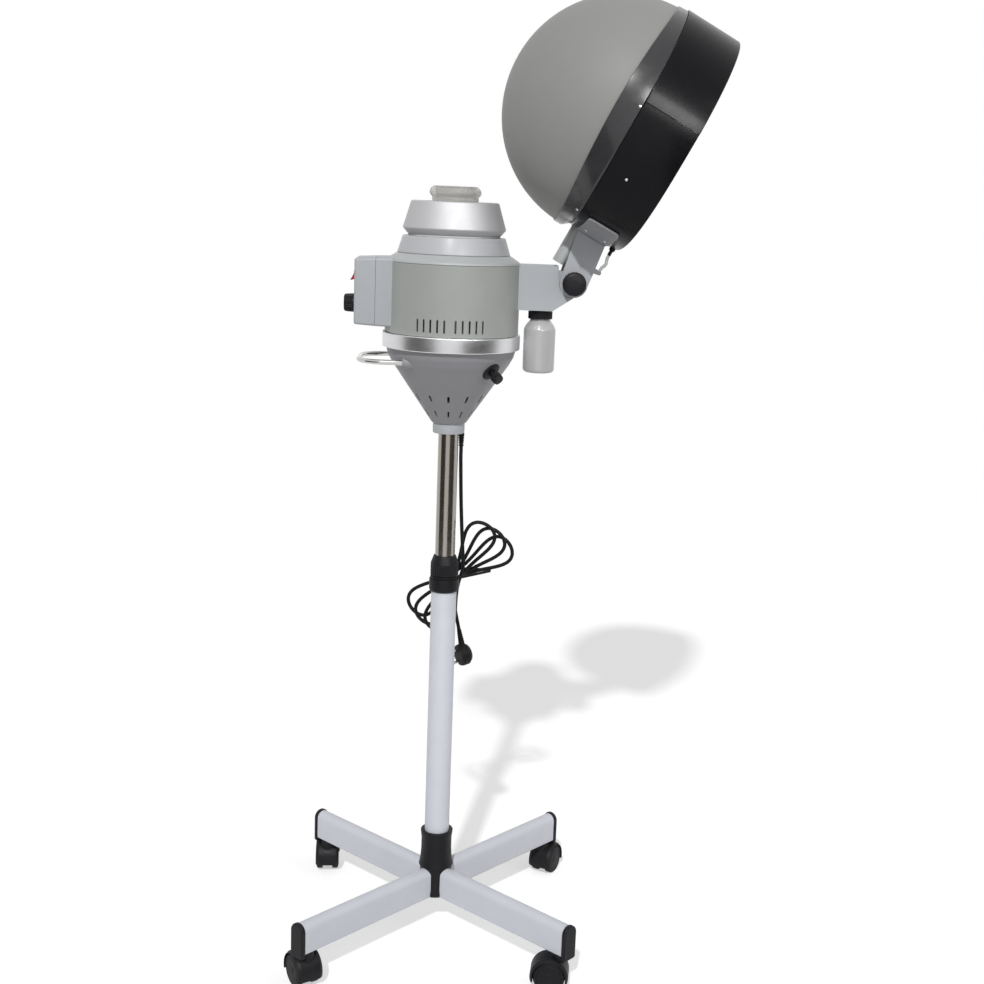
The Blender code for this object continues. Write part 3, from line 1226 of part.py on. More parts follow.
def build_bracket(hood):
    """The forked bracket and the steam pipe beside it."""
    half = ARM_WIDTH / 2
    end = SADDLE_REACH - FIT
    foot = [(end, BRACKET_FOOT_LOW), (end, BRACKET_FOOT_HIGH)]
    first = tangent_angle(foot[1], (0.0, 0.0), BRACKET_HALF_HEIGHT)
    last = tangent_angle(foot[0], (0.0, 0.0), BRACKET_HALF_HEIGHT, -1.0) + 360.0
    outline = arc((0.0, 0.0), BRACKET_HALF_HEIGHT, first, last, 12) + foot
    fork = prism_mesh("hood_bracket", outline, -half, half)
    bracket = placed("hood_bracket", fork, hood, "light_grey_plastic")
    slot_half = ARM_TONGUE_WIDTH / 2 + RUNNING
    reach = 2 * BRACKET_HALF_HEIGHT
    slot = box_mesh("fork_slot", (-reach, -slot_half, -reach), (BRACKET_SLOT_DEPTH, slot_half, reach))
    combined(bracket, "fork_slot", slot)
    bolt = rod_profile(CLAMP_BOLT_RADIUS + RUNNING, -ARM_WIDTH, ARM_WIDTH)
    bolt_hole = turned_mesh("bracket_bolt_hole", bolt, 16)
    combined(bracket, "bracket_bolt_hole", bolt_hole, turn=(90.0, 0.0, 0.0))
    pipe_at = (0.0, 0.0, STEAM_PIPE_OFFSET)
    combined(bracket, "pipe_groove", pipe_room("pipe_groove"), location=pipe_at, turn=(0.0, 90.0, 0.0))
    port_half = DRAIN_PORT_SIZE / 2
    port = box_mesh(
        "drain_port",
        (DRAIN_PORT_START, -half, NIPPLE_OFFSET - port_half),
        (DRAIN_PORT_START + DRAIN_PORT_SIZE, NIPPLE_Y + port_half, BRACKET_FOOT_LOW),
    )
    combined(bracket, "drain_port", port, "UNION")

    bore = STEAM_PIPE_RADIUS - STEAM_PIPE_WALL
    pipe_end = HOOD_CENTRE_X - SKIRT_BACK + HOOD_WALL + STEAM_PIPE_INSIDE
    pipe = pipe_profile(STEAM_PIPE_RADIUS, bore, STEAM_PIPE_START, pipe_end)
    turned("hood_steam_pipe", pipe, hood, "light_grey_plastic", 20, pipe_at, (0.0, 90.0, 0.0))


def build_clamp(hood):
    """The clamp knob with its bolt, which runs through the fork and the arm's tongue to a nut."""
    side = ARM_WIDTH / 2 + RUNNING
    top = side + CLAMP_KNOB_LENGTH
    knob = [
        (0.0, -side - CLAMP_NUT_LENGTH),
        (CLAMP_NUT_RADIUS, -side - CLAMP_NUT_LENGTH),
        (CLAMP_NUT_RADIUS, -side),
        (CLAMP_BOLT_RADIUS, -side),
        (CLAMP_BOLT_RADIUS, side),
        (CLAMP_KNOB_RADIUS * 0.72, side),
        (CLAMP_KNOB_RADIUS, side + 0.005),
        (CLAMP_KNOB_RADIUS, top - 0.004),
        (CLAMP_KNOB_RADIUS - 0.0012, top - 0.0012),
        (CLAMP_KNOB_RADIUS - 0.004, top),
        (0.0, top),
    ]
    turned("clamp_knob", knob, hood, "black_plastic", SMALL_SIDES, turn=(90.0, 0.0, 0.0))


def hank_point(turns):
    """The lead's middle line in the hank: peanut-shaped loops about a waist, each a layer further back."""
    phase = 2 * math.pi * turns
    along = HANK_HALF_LENGTH * math.cos(phase)
    across = -math.sin(phase) * (HANK_WAIST + HANK_LOBE * math.cos(phase) ** 2)
    tilt = math.radians(HANK_FIRST_TILT + HANK_TILT_STEP * turns)
    x = HANK_SHIFT + along * math.cos(tilt) - across * math.sin(tilt)
    z = HANK_CENTRE_Z + along * math.sin(tilt) + across * math.cos(tilt)
    turn = Matrix.Rotation(math.radians(HANK_TURN), 3, "Z")
    return turn @ Vector((x, HANK_FIRST_Y + HANK_PITCH * turns, z))


def hank_ends():
    """First and last point of the hank, each with the lead's direction there."""
    first, last, step = 0.25, HANK_LOOPS + HANK_END_ANGLE / 360.0, 0.002
    start, end = hank_point(first), hank_point(last)
    inward = (hank_point(first + step) - start).normalized()
    outward = (end - hank_point(last - step)).normalized()
    return first, last, start, inward, end, outward


def least_gap(points):
    """Least gap between stretches of a lead that don't follow each other, surface to surface."""
    walked = [0.0]
    for a, b in zip(points, points[1:]):
        walked.append(walked[-1] + (b - a).length)
    apart = 12 * CORD_RADIUS
    pairs = [
        (points[i] - points[j]).length
        for i in range(len(points))
        for j in range(i + 1, len(points))
        if walked[j] - walked[i] > apart
    ]
    return min(pairs) - 2 * CORD_RADIUS


def build_lead(stand):
    """The mains lead: the drop from the gland, the tied hank, the tail, the strain relief and the plug."""
    first, last, start, inward, end, outward = hank_ends()
    straight = 2 * CORD_RADIUS
    steps = round((last - first) * HANK_LOOP_POINTS)
    loops = [hank_point(first + (last - first) * i / steps) for i in range(steps + 1)]
    hank = [start - inward * straight, *loops, end + outward * straight]
    tube("cord_hank", hank, CORD_RADIUS, stand, "black_rubber", 1)
    fine = [hank_point(first + (last - first) * i / (8 * steps)) for i in range(8 * steps + 1)]
    print(f"hank: least gap to itself {least_gap(fine) * 1000:.2f} mm, length {length_of(hank):.3f} m")

    gland_foot = Vector((GLAND_X, GLAND_Y, COLLAR_BOTTOM - FIT - GLAND_LENGTH - FIT))
    entry = start - inward * (straight + FIT)
    below_gland = gland_foot - Vector((0.0, 0.0, 2 * straight))
    route = [gland_foot, below_gland, *DROP_ROUTE, entry - inward * straight, entry]
    drop = smooth_route(route, 2 * straight)
    tube("cord_drop", drop, CORD_RADIUS, stand, "black_rubber", 2)

    leave = end + outward * (straight + FIT)
    relief_top = Vector(PLUG_TOP)
    above_relief = relief_top + plug_turn() @ Vector((0.0, 0.0, straight))
    tail = [leave, leave + outward * straight, *TAIL_ROUTE, above_relief, relief_top]
    tail = smooth_route(tail, 2 * straight)
    tube("cord_tail", tail, CORD_RADIUS, stand, "black_rubber", 2)
    print(f"lead: drop {length_of(drop):.3f} m, tail {length_of(tail):.3f} m")

    build_plug(stand)
    build_tie(stand, fine + drop)


def plug_turn():
    """How the plug hangs: leaning a little, its pins turned to the front."""
    lean = Matrix.Rotation(math.radians(-PLUG_LEAN), 3, "Y")
    return lean @ Matrix.Rotation(math.radians(PLUG_FACE), 3, "Z")


def degrees(turn):
    """A rotation as angles about X, Y and Z in degrees."""
    return tuple(math.degrees(angle) for angle in turn.to_euler())


def build_plug(stand):
    """A right-angle round plug under its strain relief, with two pins that point away to -X."""
    turn = plug_turn()
    top = Vector(PLUG_TOP) + turn @ Vector((0.0, 0.0, -FIT))
    centre = top + turn @ Vector((0.0, 0.0, -RELIEF_LENGTH - PLUG_RADIUS))
    half = PLUG_DEPTH / 2
    body = [
        (0.0, -half),
        (PLUG_RADIUS * 0.75, -half),
        (PLUG_RADIUS, -half + PLUG_NOSE),
        (PLUG_RADIUS, half),
        (0.0, half),
    ]
    facing = degrees(turn @ Matrix.Rotation(math.radians(-90.0), 3, "Y"))
    plug = turned("plug", body, stand, "black_rubber", SMALL_SIDES, centre, facing)
    root = -RELIEF_LENGTH - PLUG_RADIUS * 0.4
    neck = CORD_RADIUS + 0.0006
    relief = [(0.0, root), (RELIEF_RADIUS, root), (RELIEF_RADIUS, -RELIEF_LENGTH), (neck, 0.0), (0.0, 0.0)]
    combined(plug, "plug_relief", turned_mesh("plug_relief", relief, 16), "UNION", top, degrees(turn))
    for i, side in enumerate((-0.5, 0.5)):
        pin = turned_mesh("plug_pin", rod_profile(PIN_RADIUS, half - 0.002, half + PIN_LENGTH, 0.0008), 12)
        where = centre + turn @ Vector((0.0, 0.0, side * PIN_SPACING))
        combined(plug, f"plug_pin_{i}", pin, "UNION", where, facing)


def build_tie(stand, lead):
    """The strap pulled tight round the lock sleeve's groove and the strands of the hank beside it."""
    low, high = GROOVE_BOTTOM + FIT, GROOVE_TOP - FIT
    held = [spot for spot in lead if low - CORD_RADIUS < spot.z < high + CORD_RADIUS]

    def loop(extra):
        spots = arc((0.0, 0.0), GROOVE_RADIUS + FIT + extra, 0.0, 360.0, 32)
        for spot in held:
            spots += arc((spot.x, spot.y), CORD_RADIUS + TIE_CLEARANCE + extra, 0.0, 360.0, 12)
        corners = [Vector(spots[i]) for i in convex_hull_2d(spots)]
        kept = [corners[0]]
        for corner in corners[1:]:
            if (corner - kept[-1]).length > 0.0012 and (corner - corners[0]).length > 0.0012:
                kept.append(corner)
        return [tuple(corner) for corner in kept]

    strap = prism_mesh("cord_tie", loop(TIE_THICKNESS), low, high, "XY")
    band = placed("cord_tie", strap, stand, "black_rubber")
    combined(band, "tie_bore", prism_mesh("tie_bore", loop(0.0), low - 0.01, high + 0.01, "XY"))


def build_drain_hose(hood):
    """The short clear hose from the nipple to the port under the bracket."""
    foot = HOOD_CENTRE_X - SKIRT_BACK - NIPPLE_LENGTH - FIT
    end = DRAIN_PORT_START + DRAIN_PORT_SIZE + FIT
    middle = (foot + end) / 2
    straight = DRAIN_HOSE_RADIUS
    route = [
        (foot, NIPPLE_Y, NIPPLE_OFFSET),
        (foot - straight, NIPPLE_Y, NIPPLE_OFFSET),
        (middle, NIPPLE_Y, NIPPLE_OFFSET - 0.003),
        (end + straight, NIPPLE_Y, NIPPLE_OFFSET),
        (end, NIPPLE_Y, NIPPLE_OFFSET),
    ]
    tube("drain_hose", smooth_route(route, 0.004), DRAIN_HOSE_RADIUS, hood, "clear_plastic", 2)


def main():
    clear_scene()
    stand = empty("stand", location=(MAST_X, MAST_Y, 0.0))
    head = empty("head", stand)
    hood = empty("hood", head, (PIVOT_X, 0.0, PIVOT_Z), (0.0, -HOOD_REST_TILT, 0.0))
    build_hub(stand)
    for name, angle, heading in zip(LEG_NAMES, LEG_ANGLES, CASTER_HEADINGS):
        build_leg(stand, name, angle)
        build_caster(stand, name, angle, heading)
    build_column(stand)
    build_lock_ring(stand)
    build_mast(stand)
    build_head_core(head)
    build_head_shells(head)
    build_lid(head)
    build_control_box(head)
    build_handle(head)
    build_drain(head)
    build_arm(head)
    build_bottle(head)
    build_hood(hood)
    build_bracket(hood)
    build_drain_hose(hood)
    build_clamp(hood)
    build_lead(stand)


main()
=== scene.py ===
"""A hair steamer on a rolling stand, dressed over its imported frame, with its studio and camera.

Metres, +Z up. The stand frame has its origin on the floor below the mast, and the hood frame has its
origin at the hood's pivot, turned with the hood at rest.
"""

import logging
import math
from collections.abc import Callable, Iterable, Sequence
from dataclasses import dataclass, field
from enum import Enum

import bmesh
import bpy
from mathutils import Matrix, Vector
from mathutils.geometry import convex_hull_2d, interpolate_bezier


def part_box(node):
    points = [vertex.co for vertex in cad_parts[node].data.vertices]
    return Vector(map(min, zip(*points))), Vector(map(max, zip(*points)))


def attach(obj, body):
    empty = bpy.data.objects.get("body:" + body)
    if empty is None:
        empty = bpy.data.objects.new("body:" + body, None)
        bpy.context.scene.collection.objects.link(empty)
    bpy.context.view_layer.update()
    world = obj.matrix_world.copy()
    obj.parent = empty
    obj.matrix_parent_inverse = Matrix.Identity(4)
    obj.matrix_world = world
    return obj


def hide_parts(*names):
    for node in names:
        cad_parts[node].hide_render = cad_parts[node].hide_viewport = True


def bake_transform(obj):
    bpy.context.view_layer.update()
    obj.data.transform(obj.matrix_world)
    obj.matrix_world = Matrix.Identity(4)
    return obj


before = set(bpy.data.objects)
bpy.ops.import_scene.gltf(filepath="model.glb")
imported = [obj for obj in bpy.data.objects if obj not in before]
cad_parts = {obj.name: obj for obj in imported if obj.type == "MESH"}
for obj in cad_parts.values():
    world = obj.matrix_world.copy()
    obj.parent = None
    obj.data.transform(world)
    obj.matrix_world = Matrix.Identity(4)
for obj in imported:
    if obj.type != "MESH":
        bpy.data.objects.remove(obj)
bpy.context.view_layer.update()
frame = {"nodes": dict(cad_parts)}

logging.basicConfig(level=logging.INFO, format="%(name)s: %(message)s")
log = logging.getLogger("steamer")

Piece = bpy.types.Object
Socket = bpy.types.NodeSocket
Pair = tuple[float, float]
Triple = tuple[float, float, float]
Colour = tuple[float, float, float, float]
Spots = Sequence[Sequence[float]]

FIT = 0.0003  # gap between pieces that sit still
RUNNING = 0.0005  # gap between pieces that move
SHARP, SHEET_SHARP, TUBE_SHARP = 32.0, 35.0, 50.0  # degrees from which an edge stays sharp
SOFT = 30.0  # degrees from which an edge is rounded
TINY = 0.00001  # spots on a line that are closer than this are one
WELD = 0.000002  # points of a mesh that are closer than this are welded
NIL = 0.0000001  # an edge shorter than this has no length
MAST = 0.016  # radius of the mast
JACKET = 0.104  # radius of the head's jacket
GLAND_AT = (0.0207, 0.0040)  # the lead's gland, from the mast's axis
GLAND_FOOT = 0.8277  # height of its foot
GROOVE = (0.0209, 0.6115, 0.6165)  # radius and ends of the lock sleeve's groove
PIVOT = (0.186, 1.092)  # the hood's pivot, as x and z
ARM_HALF = 0.0245  # half the width of the arm and of the bracket

# Noise in the finishes, as features to the metre, and depths of the orange peel and the mould's waves.
CLOUD, SMEAR, METAL_SMEAR, WEAR_PATCHES = 28.0, 70.0, 60.0, 120.0
PEEL, WAVES, DUST = 320.0, 9.0, 240.0
PEEL_DEPTH, WAVE_DEPTH = 0.00012, 0.0015
WEAR_REACH = 0.001  # how far wear reaches from an edge
WEAR_BEND = (0.80, 0.97)  # cosines of the bend with full wear and with none
WEAR_SPREAD = (0.4, 0.65)  # the patches' values with no wear and with full wear
MIX_FIRST, MIX_SECOND, MIX_RESULT = 6, 7, 2  # colour sockets of a Mix node


class Plane(Enum):
    """The plane of a slab's outline. The values are the axes of its two directions and its thickness."""

    XZ = (0, 2, 1)
    YZ = (1, 2, 0)
    XY = (0, 1, 2)

    def spot(self, u: float, v: float, w: float) -> Vector:
        """The point at two outline coordinates and a distance along the thickness."""
        point = Vector((0.0, 0.0, 0.0))
        for axis, value in zip(self.value, (u, v, w)):
            point[axis] = value
        return point


class Join(Enum):
    """How a second solid is put together with a piece."""

    CUT = "DIFFERENCE"
    ADD = "UNION"


@dataclass(frozen=True)
class Flutes:
    """Grip ribs around a turned piece.

    Args:
        count: Number of ribs.
        depth: How deep the grooves between them are.
        low: Lower end of the ribs along the axis.
        high: Upper end of the ribs along the axis.
    """

    count: int
    depth: float
    low: float
    high: float

    def drop(self, angle: float, height: float) -> float:
        """How far the surface lies below the ribs' crests at an angle and a height."""
        if not self.low <= height <= self.high:
            return 0.0
        wave = 0.5 - 0.5 * math.cos(angle * self.count)
        return self.depth * wave**2


def arc(centre: Sequence[float], radius: float, first: float, last: float, steps: int) -> list[Vector]:
    """Points along an arc in a plane.

    Args:
        centre: Middle of the arc.
        radius: Its radius.
        first: First angle in degrees.
        last: Last angle in degrees.
        steps: Number of chords.

    Returns:
        The points, ends included.
    """
    angles = [math.radians(first + (last - first) * i / steps) for i in range(steps + 1)]
    return [Vector((centre[0] + radius * math.cos(a), centre[1] + radius * math.sin(a))) for a in angles]


def rounded(
    corners: Iterable[Sequence[float]], radius: float, steps: int = 4, closed: bool = False
) -> list[Vector]:
    """A line of corners with each corner turned into an arc.

    Args:
        corners: The corners, in order.
        radius: Radius wanted. A short side makes it smaller.
        steps: Chords in each arc.
        closed: Whether the last corner joins the first.

    Returns:
        The rounded line.
    """
    straight, folded = math.radians(176.0), math.radians(4.0)
    spots = [Vector(corner) for corner in corners]
    count = len(spots)
    line: list[Vector] = []
    for i, spot in enumerate(spots):
        if not closed and i in (0, count - 1):
            line.append(spot)
            continue
        back, ahead = spots[i - 1] - spot, spots[(i + 1) % count] - spot
        if min(back.length, ahead.length) < NIL:
            line += [spot] * (steps + 1)
            continue
        bend = back.angle(ahead)
        if not folded <= bend <= straight:
            cut = min(radius, 0.4 * back.length, 0.4 * ahead.length)
            first, last = spot + back.normalized() * cut, spot + ahead.normalized() * cut
            line += [first.lerp(last, step / steps) for step in range(steps + 1)]
            continue
        cut = min(radius / math.tan(bend / 2), 0.49 * back.length, 0.49 * ahead.length)
        true_radius = cut * math.tan(bend / 2)
        towards = (back.normalized() + ahead.normalized()).normalized()
        centre = spot + towards * true_radius / math.sin(bend / 2)
        first = spot + back.normalized() * cut - centre
        last = spot + ahead.normalized() * cut - centre
        total = first.angle(last)
        for step in range(steps + 1):
            share = step / steps
            swing = first * math.sin((1 - share) * total) + last * math.sin(share * total)
            line.append(centre + swing / math.sin(total))
    return line


def oblong(near: float, low: float, far: float, high: float) -> list[Pair]:
    """The four corners of a rectangle, in order from the near low one."""
    return [(near, low), (far, low), (far, high), (near, high)]


def linked(name: str, data: bpy.types.ID) -> Piece:
    """A new object in the scene with some data."""
    made = bpy.data.objects.new(name, data)
    bpy.context.scene.collection.objects.link(made)
    return made


def used_up(piece: Piece) -> None:
    """Removes a piece and its mesh."""
    mesh = piece.data
    bpy.data.objects.remove(piece, do_unlink=True)
    bpy.data.meshes.remove(mesh)


def shaded(mesh: bpy.types.Mesh, sharp: float = SHARP) -> None:
    """Cleans a mesh and shades it smooth, apart from edges that bend more than an angle in degrees."""
    form = bmesh.new()
    form.from_mesh(mesh)
    bmesh.ops.remove_doubles(form, verts=form.verts, dist=WELD)
    bmesh.ops.dissolve_degenerate(form, edges=form.edges, dist=NIL)
    bmesh.ops.recalc_face_normals(form, faces=form.faces)
    for face in form.faces:
        face.smooth = True
    for edge in form.edges:
        edge.smooth = not (edge.is_manifold and edge.calc_face_angle(0.0) > math.radians(sharp))
    form.to_mesh(mesh)
    form.free()


def new_piece(
    name: str, points: Spots, faces: Sequence[Sequence[int]], place: Matrix, sharp: float = SHARP
) -> Piece:
    """A shaded mesh object in the shared frame.

    Args:
        name: The piece's name.
        points: Its points, in a local frame.
        faces: Its faces, as indices into the points.
        place: The local frame.
        sharp: Angle in degrees from which an edge stays sharp.

    Returns:
        The new object.
    """
    mesh = bpy.data.meshes.new(name)
    mesh.from_pydata([tuple(place @ Vector(point)) for point in points], [], [list(face) for face in faces])
    shaded(mesh, sharp)
    return linked(name, mesh)


def lathe(
    name: str,
    profile: Iterable[Sequence[float]],
    place: Matrix,
    sides: int = 96,
    sweep: Pair = (0.0, 360.0),
    flutes: Flutes | None = None,
) -> Piece:
    """A piece turned about the local Z axis.

    Args:
        name: The piece's name.
        profile: Closed outline of its section, as radius and height.
        place: The local frame.
        sides: Number of sides around the axis.
        sweep: First and last angle in degrees. Less than a full turn gets flat ends.
        flutes: Grip ribs, where it has any.

    Returns:
        The new object.
    """
    line = [(max(0.0, spot[0]), spot[1]) for spot in profile]
    full = sweep[1] - sweep[0] >= 360.0
    sections: list[list[Vector]] = []
    for station in range(sides if full else sides + 1):
        angle = math.radians(sweep[0] + (sweep[1] - sweep[0]) * station / sides)
        section: list[Vector] = []
        for radius, height in line:
            reach = radius - (flutes.drop(angle, height) if flutes and radius > 0.0 else 0.0)
            section.append(Vector((reach * math.cos(angle), reach * math.sin(angle), height)))
        sections.append(section)
    return loft(name, sections, place, full)


def slab(
    name: str, outline: Spots, ends: Pair, plane: Plane, place: Matrix, bevel: float = 0.0, steps: int = 3
) -> Piece:
    """An outline thickened into a solid whose two faces have rounded rims.

    Args:
        name: The piece's name.
        outline: Closed outline.
        ends: First and last place along the thickness.
        plane: The outline's plane.
        place: The local frame.
        bevel: Radius of the rims.
        steps: Chords in a rim.

    Returns:
        The new object.
    """
    count = len(outline)
    points = [plane.spot(u, v, w) for w in ends for u, v in outline]
    faces = [[i, (i + 1) % count, count + (i + 1) % count, count + i] for i in range(count)]
    faces += [list(range(count)), list(range(count, 2 * count))]
    piece = new_piece(name, points, faces, place)
    if bevel:
        form = bmesh.new()
        form.from_mesh(piece.data)
        caps = [face for face in form.faces if len(face.verts) > 4]
        rims = {edge for face in caps for edge in face.edges}
        bmesh.ops.bevel(
            form, geom=list(rims), offset=bevel, segments=steps, profile=0.5, affect="EDGES", clamp_overlap=True
        )
        form.to_mesh(piece.data)
        form.free()
        shaded(piece.data)
    return piece


def loft(name: str, sections: list[list[Vector]], place: Matrix, around: bool, sharp: float = SHARP) -> Piece:
    """A solid through closed sections of equal point counts.

    Args:
        name: The piece's name.
        sections: The sections, in order.
        place: The local frame.
        around: Whether the last section joins the first.
        sharp: Angle in degrees from which an edge stays sharp.

    Returns:
        The new object.
    """
    rows, count = len(sections[0]), len(sections)
    points = [point for section in sections for point in section]
    faces: list[list[int]] = []
    for i in range(count if around else count - 1):
        here, there = i * rows, ((i + 1) % count) * rows
        for row in range(rows):
            above = (row + 1) % rows
            faces.append([here + row, there + row, there + above, here + above])
    if not around:
        faces.append(list(range(rows)))
        faces.append([(count - 1) * rows + row for row in reversed(range(rows))])
    return new_piece(name, points, faces, place, sharp)


def tube(name: str, path: Spots, radius: float, place: Matrix, sides: int) -> Piece:
    """A round rod along a path.

    Args:
        name: The piece's name.
        path: Points of its middle line.
        radius: Its radius.
        place: The local frame.
        sides: Sides around it.

    Returns:
        The new object.
    """
    line = [Vector(spot) for spot in path]
    ahead = [(b - a).normalized() for a, b in zip(line, line[1:])]
    headings = [ahead[0]] + [(a + b).normalized() for a, b in zip(ahead, ahead[1:])] + [ahead[-1]]
    across = headings[0].orthogonal().normalized()
    sections: list[list[Vector]] = []
    for spot, heading in zip(line, headings):
        across = (across - heading * across.dot(heading)).normalized()
        other = heading.cross(across)
        turns = [2 * math.pi * k / sides for k in range(sides)]
        sections.append([spot + (across * math.cos(t) + other * math.sin(t)) * radius for t in turns])
    return loft(name, sections, place, False, TUBE_SHARP)


def settled(piece: Piece, sharp: float) -> Piece:
    """Makes a piece's modifiers final and shades it again, with edges from an angle on left sharp."""
    bpy.context.view_layer.update()
    graph = bpy.context.evaluated_depsgraph_get()
    mesh = bpy.data.meshes.new_from_object(piece.evaluated_get(graph))
    piece.modifiers.clear()
    old = piece.data
    piece.data = mesh
    bpy.data.meshes.remove(old)
    shaded(mesh, sharp)
    return piece


def put_together(piece: Piece, other: Piece, how: Join) -> Piece:
    """Cuts a second solid from a piece, or adds it, and removes the second one.

    Args:
        piece: The piece that stays.
        other: The solid that is used up.
        how: Whether it is cut away or added.

    Returns:
        The piece.
    """
    modifier = piece.modifiers.new("join", "BOOLEAN")
    modifier.operation = how.value
    modifier.solver = "EXACT"
    modifier.object = other
    settled(piece, SHARP)
    used_up(other)
    return piece


def gathered(name: str, parts: Sequence[Piece]) -> Piece:
    """One object with the meshes of several, which are removed."""
    form = bmesh.new()
    for part in parts:
        form.from_mesh(part.data)
    mesh = bpy.data.meshes.new(name)
    form.to_mesh(mesh)
    form.free()
    for part in parts:
        used_up(part)
    return linked(name, mesh)


def softened(piece: Piece, width: float, steps: int = 3) -> Piece:
    """Rounds a piece's sharp edges."""
    modifier = piece.modifiers.new("soft edges", "BEVEL")
    modifier.width = width
    modifier.segments = steps
    modifier.limit_method = "ANGLE"
    modifier.angle_limit = math.radians(SOFT)
    modifier.harden_normals = True
    return piece


def pierced_shell(
    name: str, profile: Spots, slots: Sequence[float], rows: Sequence[Pair], width: float, wall: float, place: Matrix
) -> Piece:
    """A turned sheet with rows of round-ended slots along its slope.

    Args:
        name: The piece's name.
        profile: Its outer line from the foot up, as radius and height.
        slots: Middle azimuth of each slot in degrees.
        rows: Lower and upper end of each row of slots, as heights on the line.
        width: Width of a slot.
        wall: Thickness of the sheet.
        place: The local frame.

    Returns:
        The new object.
    """

    def radius_at(height: float) -> float:
        """Radius of the line at a height."""
        for (r0, z0), (r1, z1) in zip(profile, profile[1:]):
            if z0 <= height <= z1:
                return r0 + (r1 - r0) * (height - z0) / (z1 - z0)
        return profile[-1][0]

    half = math.degrees(width / 2 / radius_at(rows[-1][0]))
    shares = (-1.0, -0.85, -0.5, 0.0, 0.5, 0.85, 1.0)
    columns: list[Pair] = []
    for azimuth in sorted(slots):
        columns += [(azimuth + half * share, 1.0 - math.sqrt(1.0 - share * share)) for share in shares]
    widest = 0.8  # degrees from one column of points to the next
    angles: list[Pair] = []
    for i, (angle, inset) in enumerate(columns):
        angles.append((angle, inset))
        after = columns[i + 1][0] if i + 1 < len(columns) else columns[0][0] + 360.0
        if after - angle > 2 * half:
            pieces = max(1, round((after - angle) / widest))
            angles += [(angle + (after - angle) * k / pieces, 1.0) for k in range(1, pieces)]
    ends = [(z, side) for row in rows for z, side in zip(row, (1, -1))]
    plain = [(z, 0) for z in {z for _, z in profile} if all(abs(z - end) > TINY for end, _ in ends)]
    lines = sorted([*plain, *ends])
    points: list[Triple] = []
    for angle, inset in angles:
        turn = math.radians(angle)
        for height, side in lines:
            z = height + side * width / 2 * inset
            radius = radius_at(z)
            points.append((radius * math.cos(turn), radius * math.sin(turn), z))
    count, each = len(angles), len(lines)
    open_rows = {i for i, (_, side) in enumerate(lines) if side == 1}
    faces: list[list[int]] = []
    for i in range(count):
        here, there = i * each, ((i + 1) % count) * each
        narrow = (angles[(i + 1) % count][0] - angles[i][0]) % 360.0
        middle = angles[i][0] + narrow / 2
        inside = any(abs((middle - azimuth + 180.0) % 360.0 - 180.0) < half for azimuth in slots)
        for row in range(each - 1):
            if inside and row in open_rows:
                continue
            faces.append([here + row, there + row, there + row + 1, here + row + 1])
    piece = new_piece(name, points, faces, place)
    thick = piece.modifiers.new("sheet", "SOLIDIFY")
    thick.thickness = wall
    thick.offset = -1.0
    thick.use_even_offset = True
    return settled(piece, SHEET_SHARP)


def linear(tone: Sequence[int], factor: float = 1.0) -> Colour:
    """Linear colour of an 8-bit display colour, made darker or lighter by a factor."""
    parts = [value / 255.0 for value in tone]
    straight = [v / 12.92 if v <= 0.04045 else ((v + 0.055) / 1.055) ** 2.4 for v in parts]
    return (*(min(1.0, v * factor) for v in straight), 1.0)


def set_values(node: bpy.types.Node, **values: float | Sequence[float]) -> None:
    """Sets constant values on a node's sockets, named with underscores for blanks."""
    for name, value in values.items():
        node.inputs[name.replace("_", " ")].default_value = value


class Nodes:
    """A tree of nodes, and short ways to add to it."""

    def __init__(self, tree: bpy.types.NodeTree) -> None:
        """Empties the tree."""
        self.tree = tree
        tree.nodes.clear()

    def add(self, kind: str, **settings: object) -> bpy.types.Node:
        """A new node with some of its properties set."""
        node = self.tree.nodes.new(kind)
        for name, value in settings.items():
            setattr(node, name, value)
        return node

    def join(self, source: Socket, target: Socket) -> None:
        """A link from one socket to another."""
        self.tree.links.new(source, target)


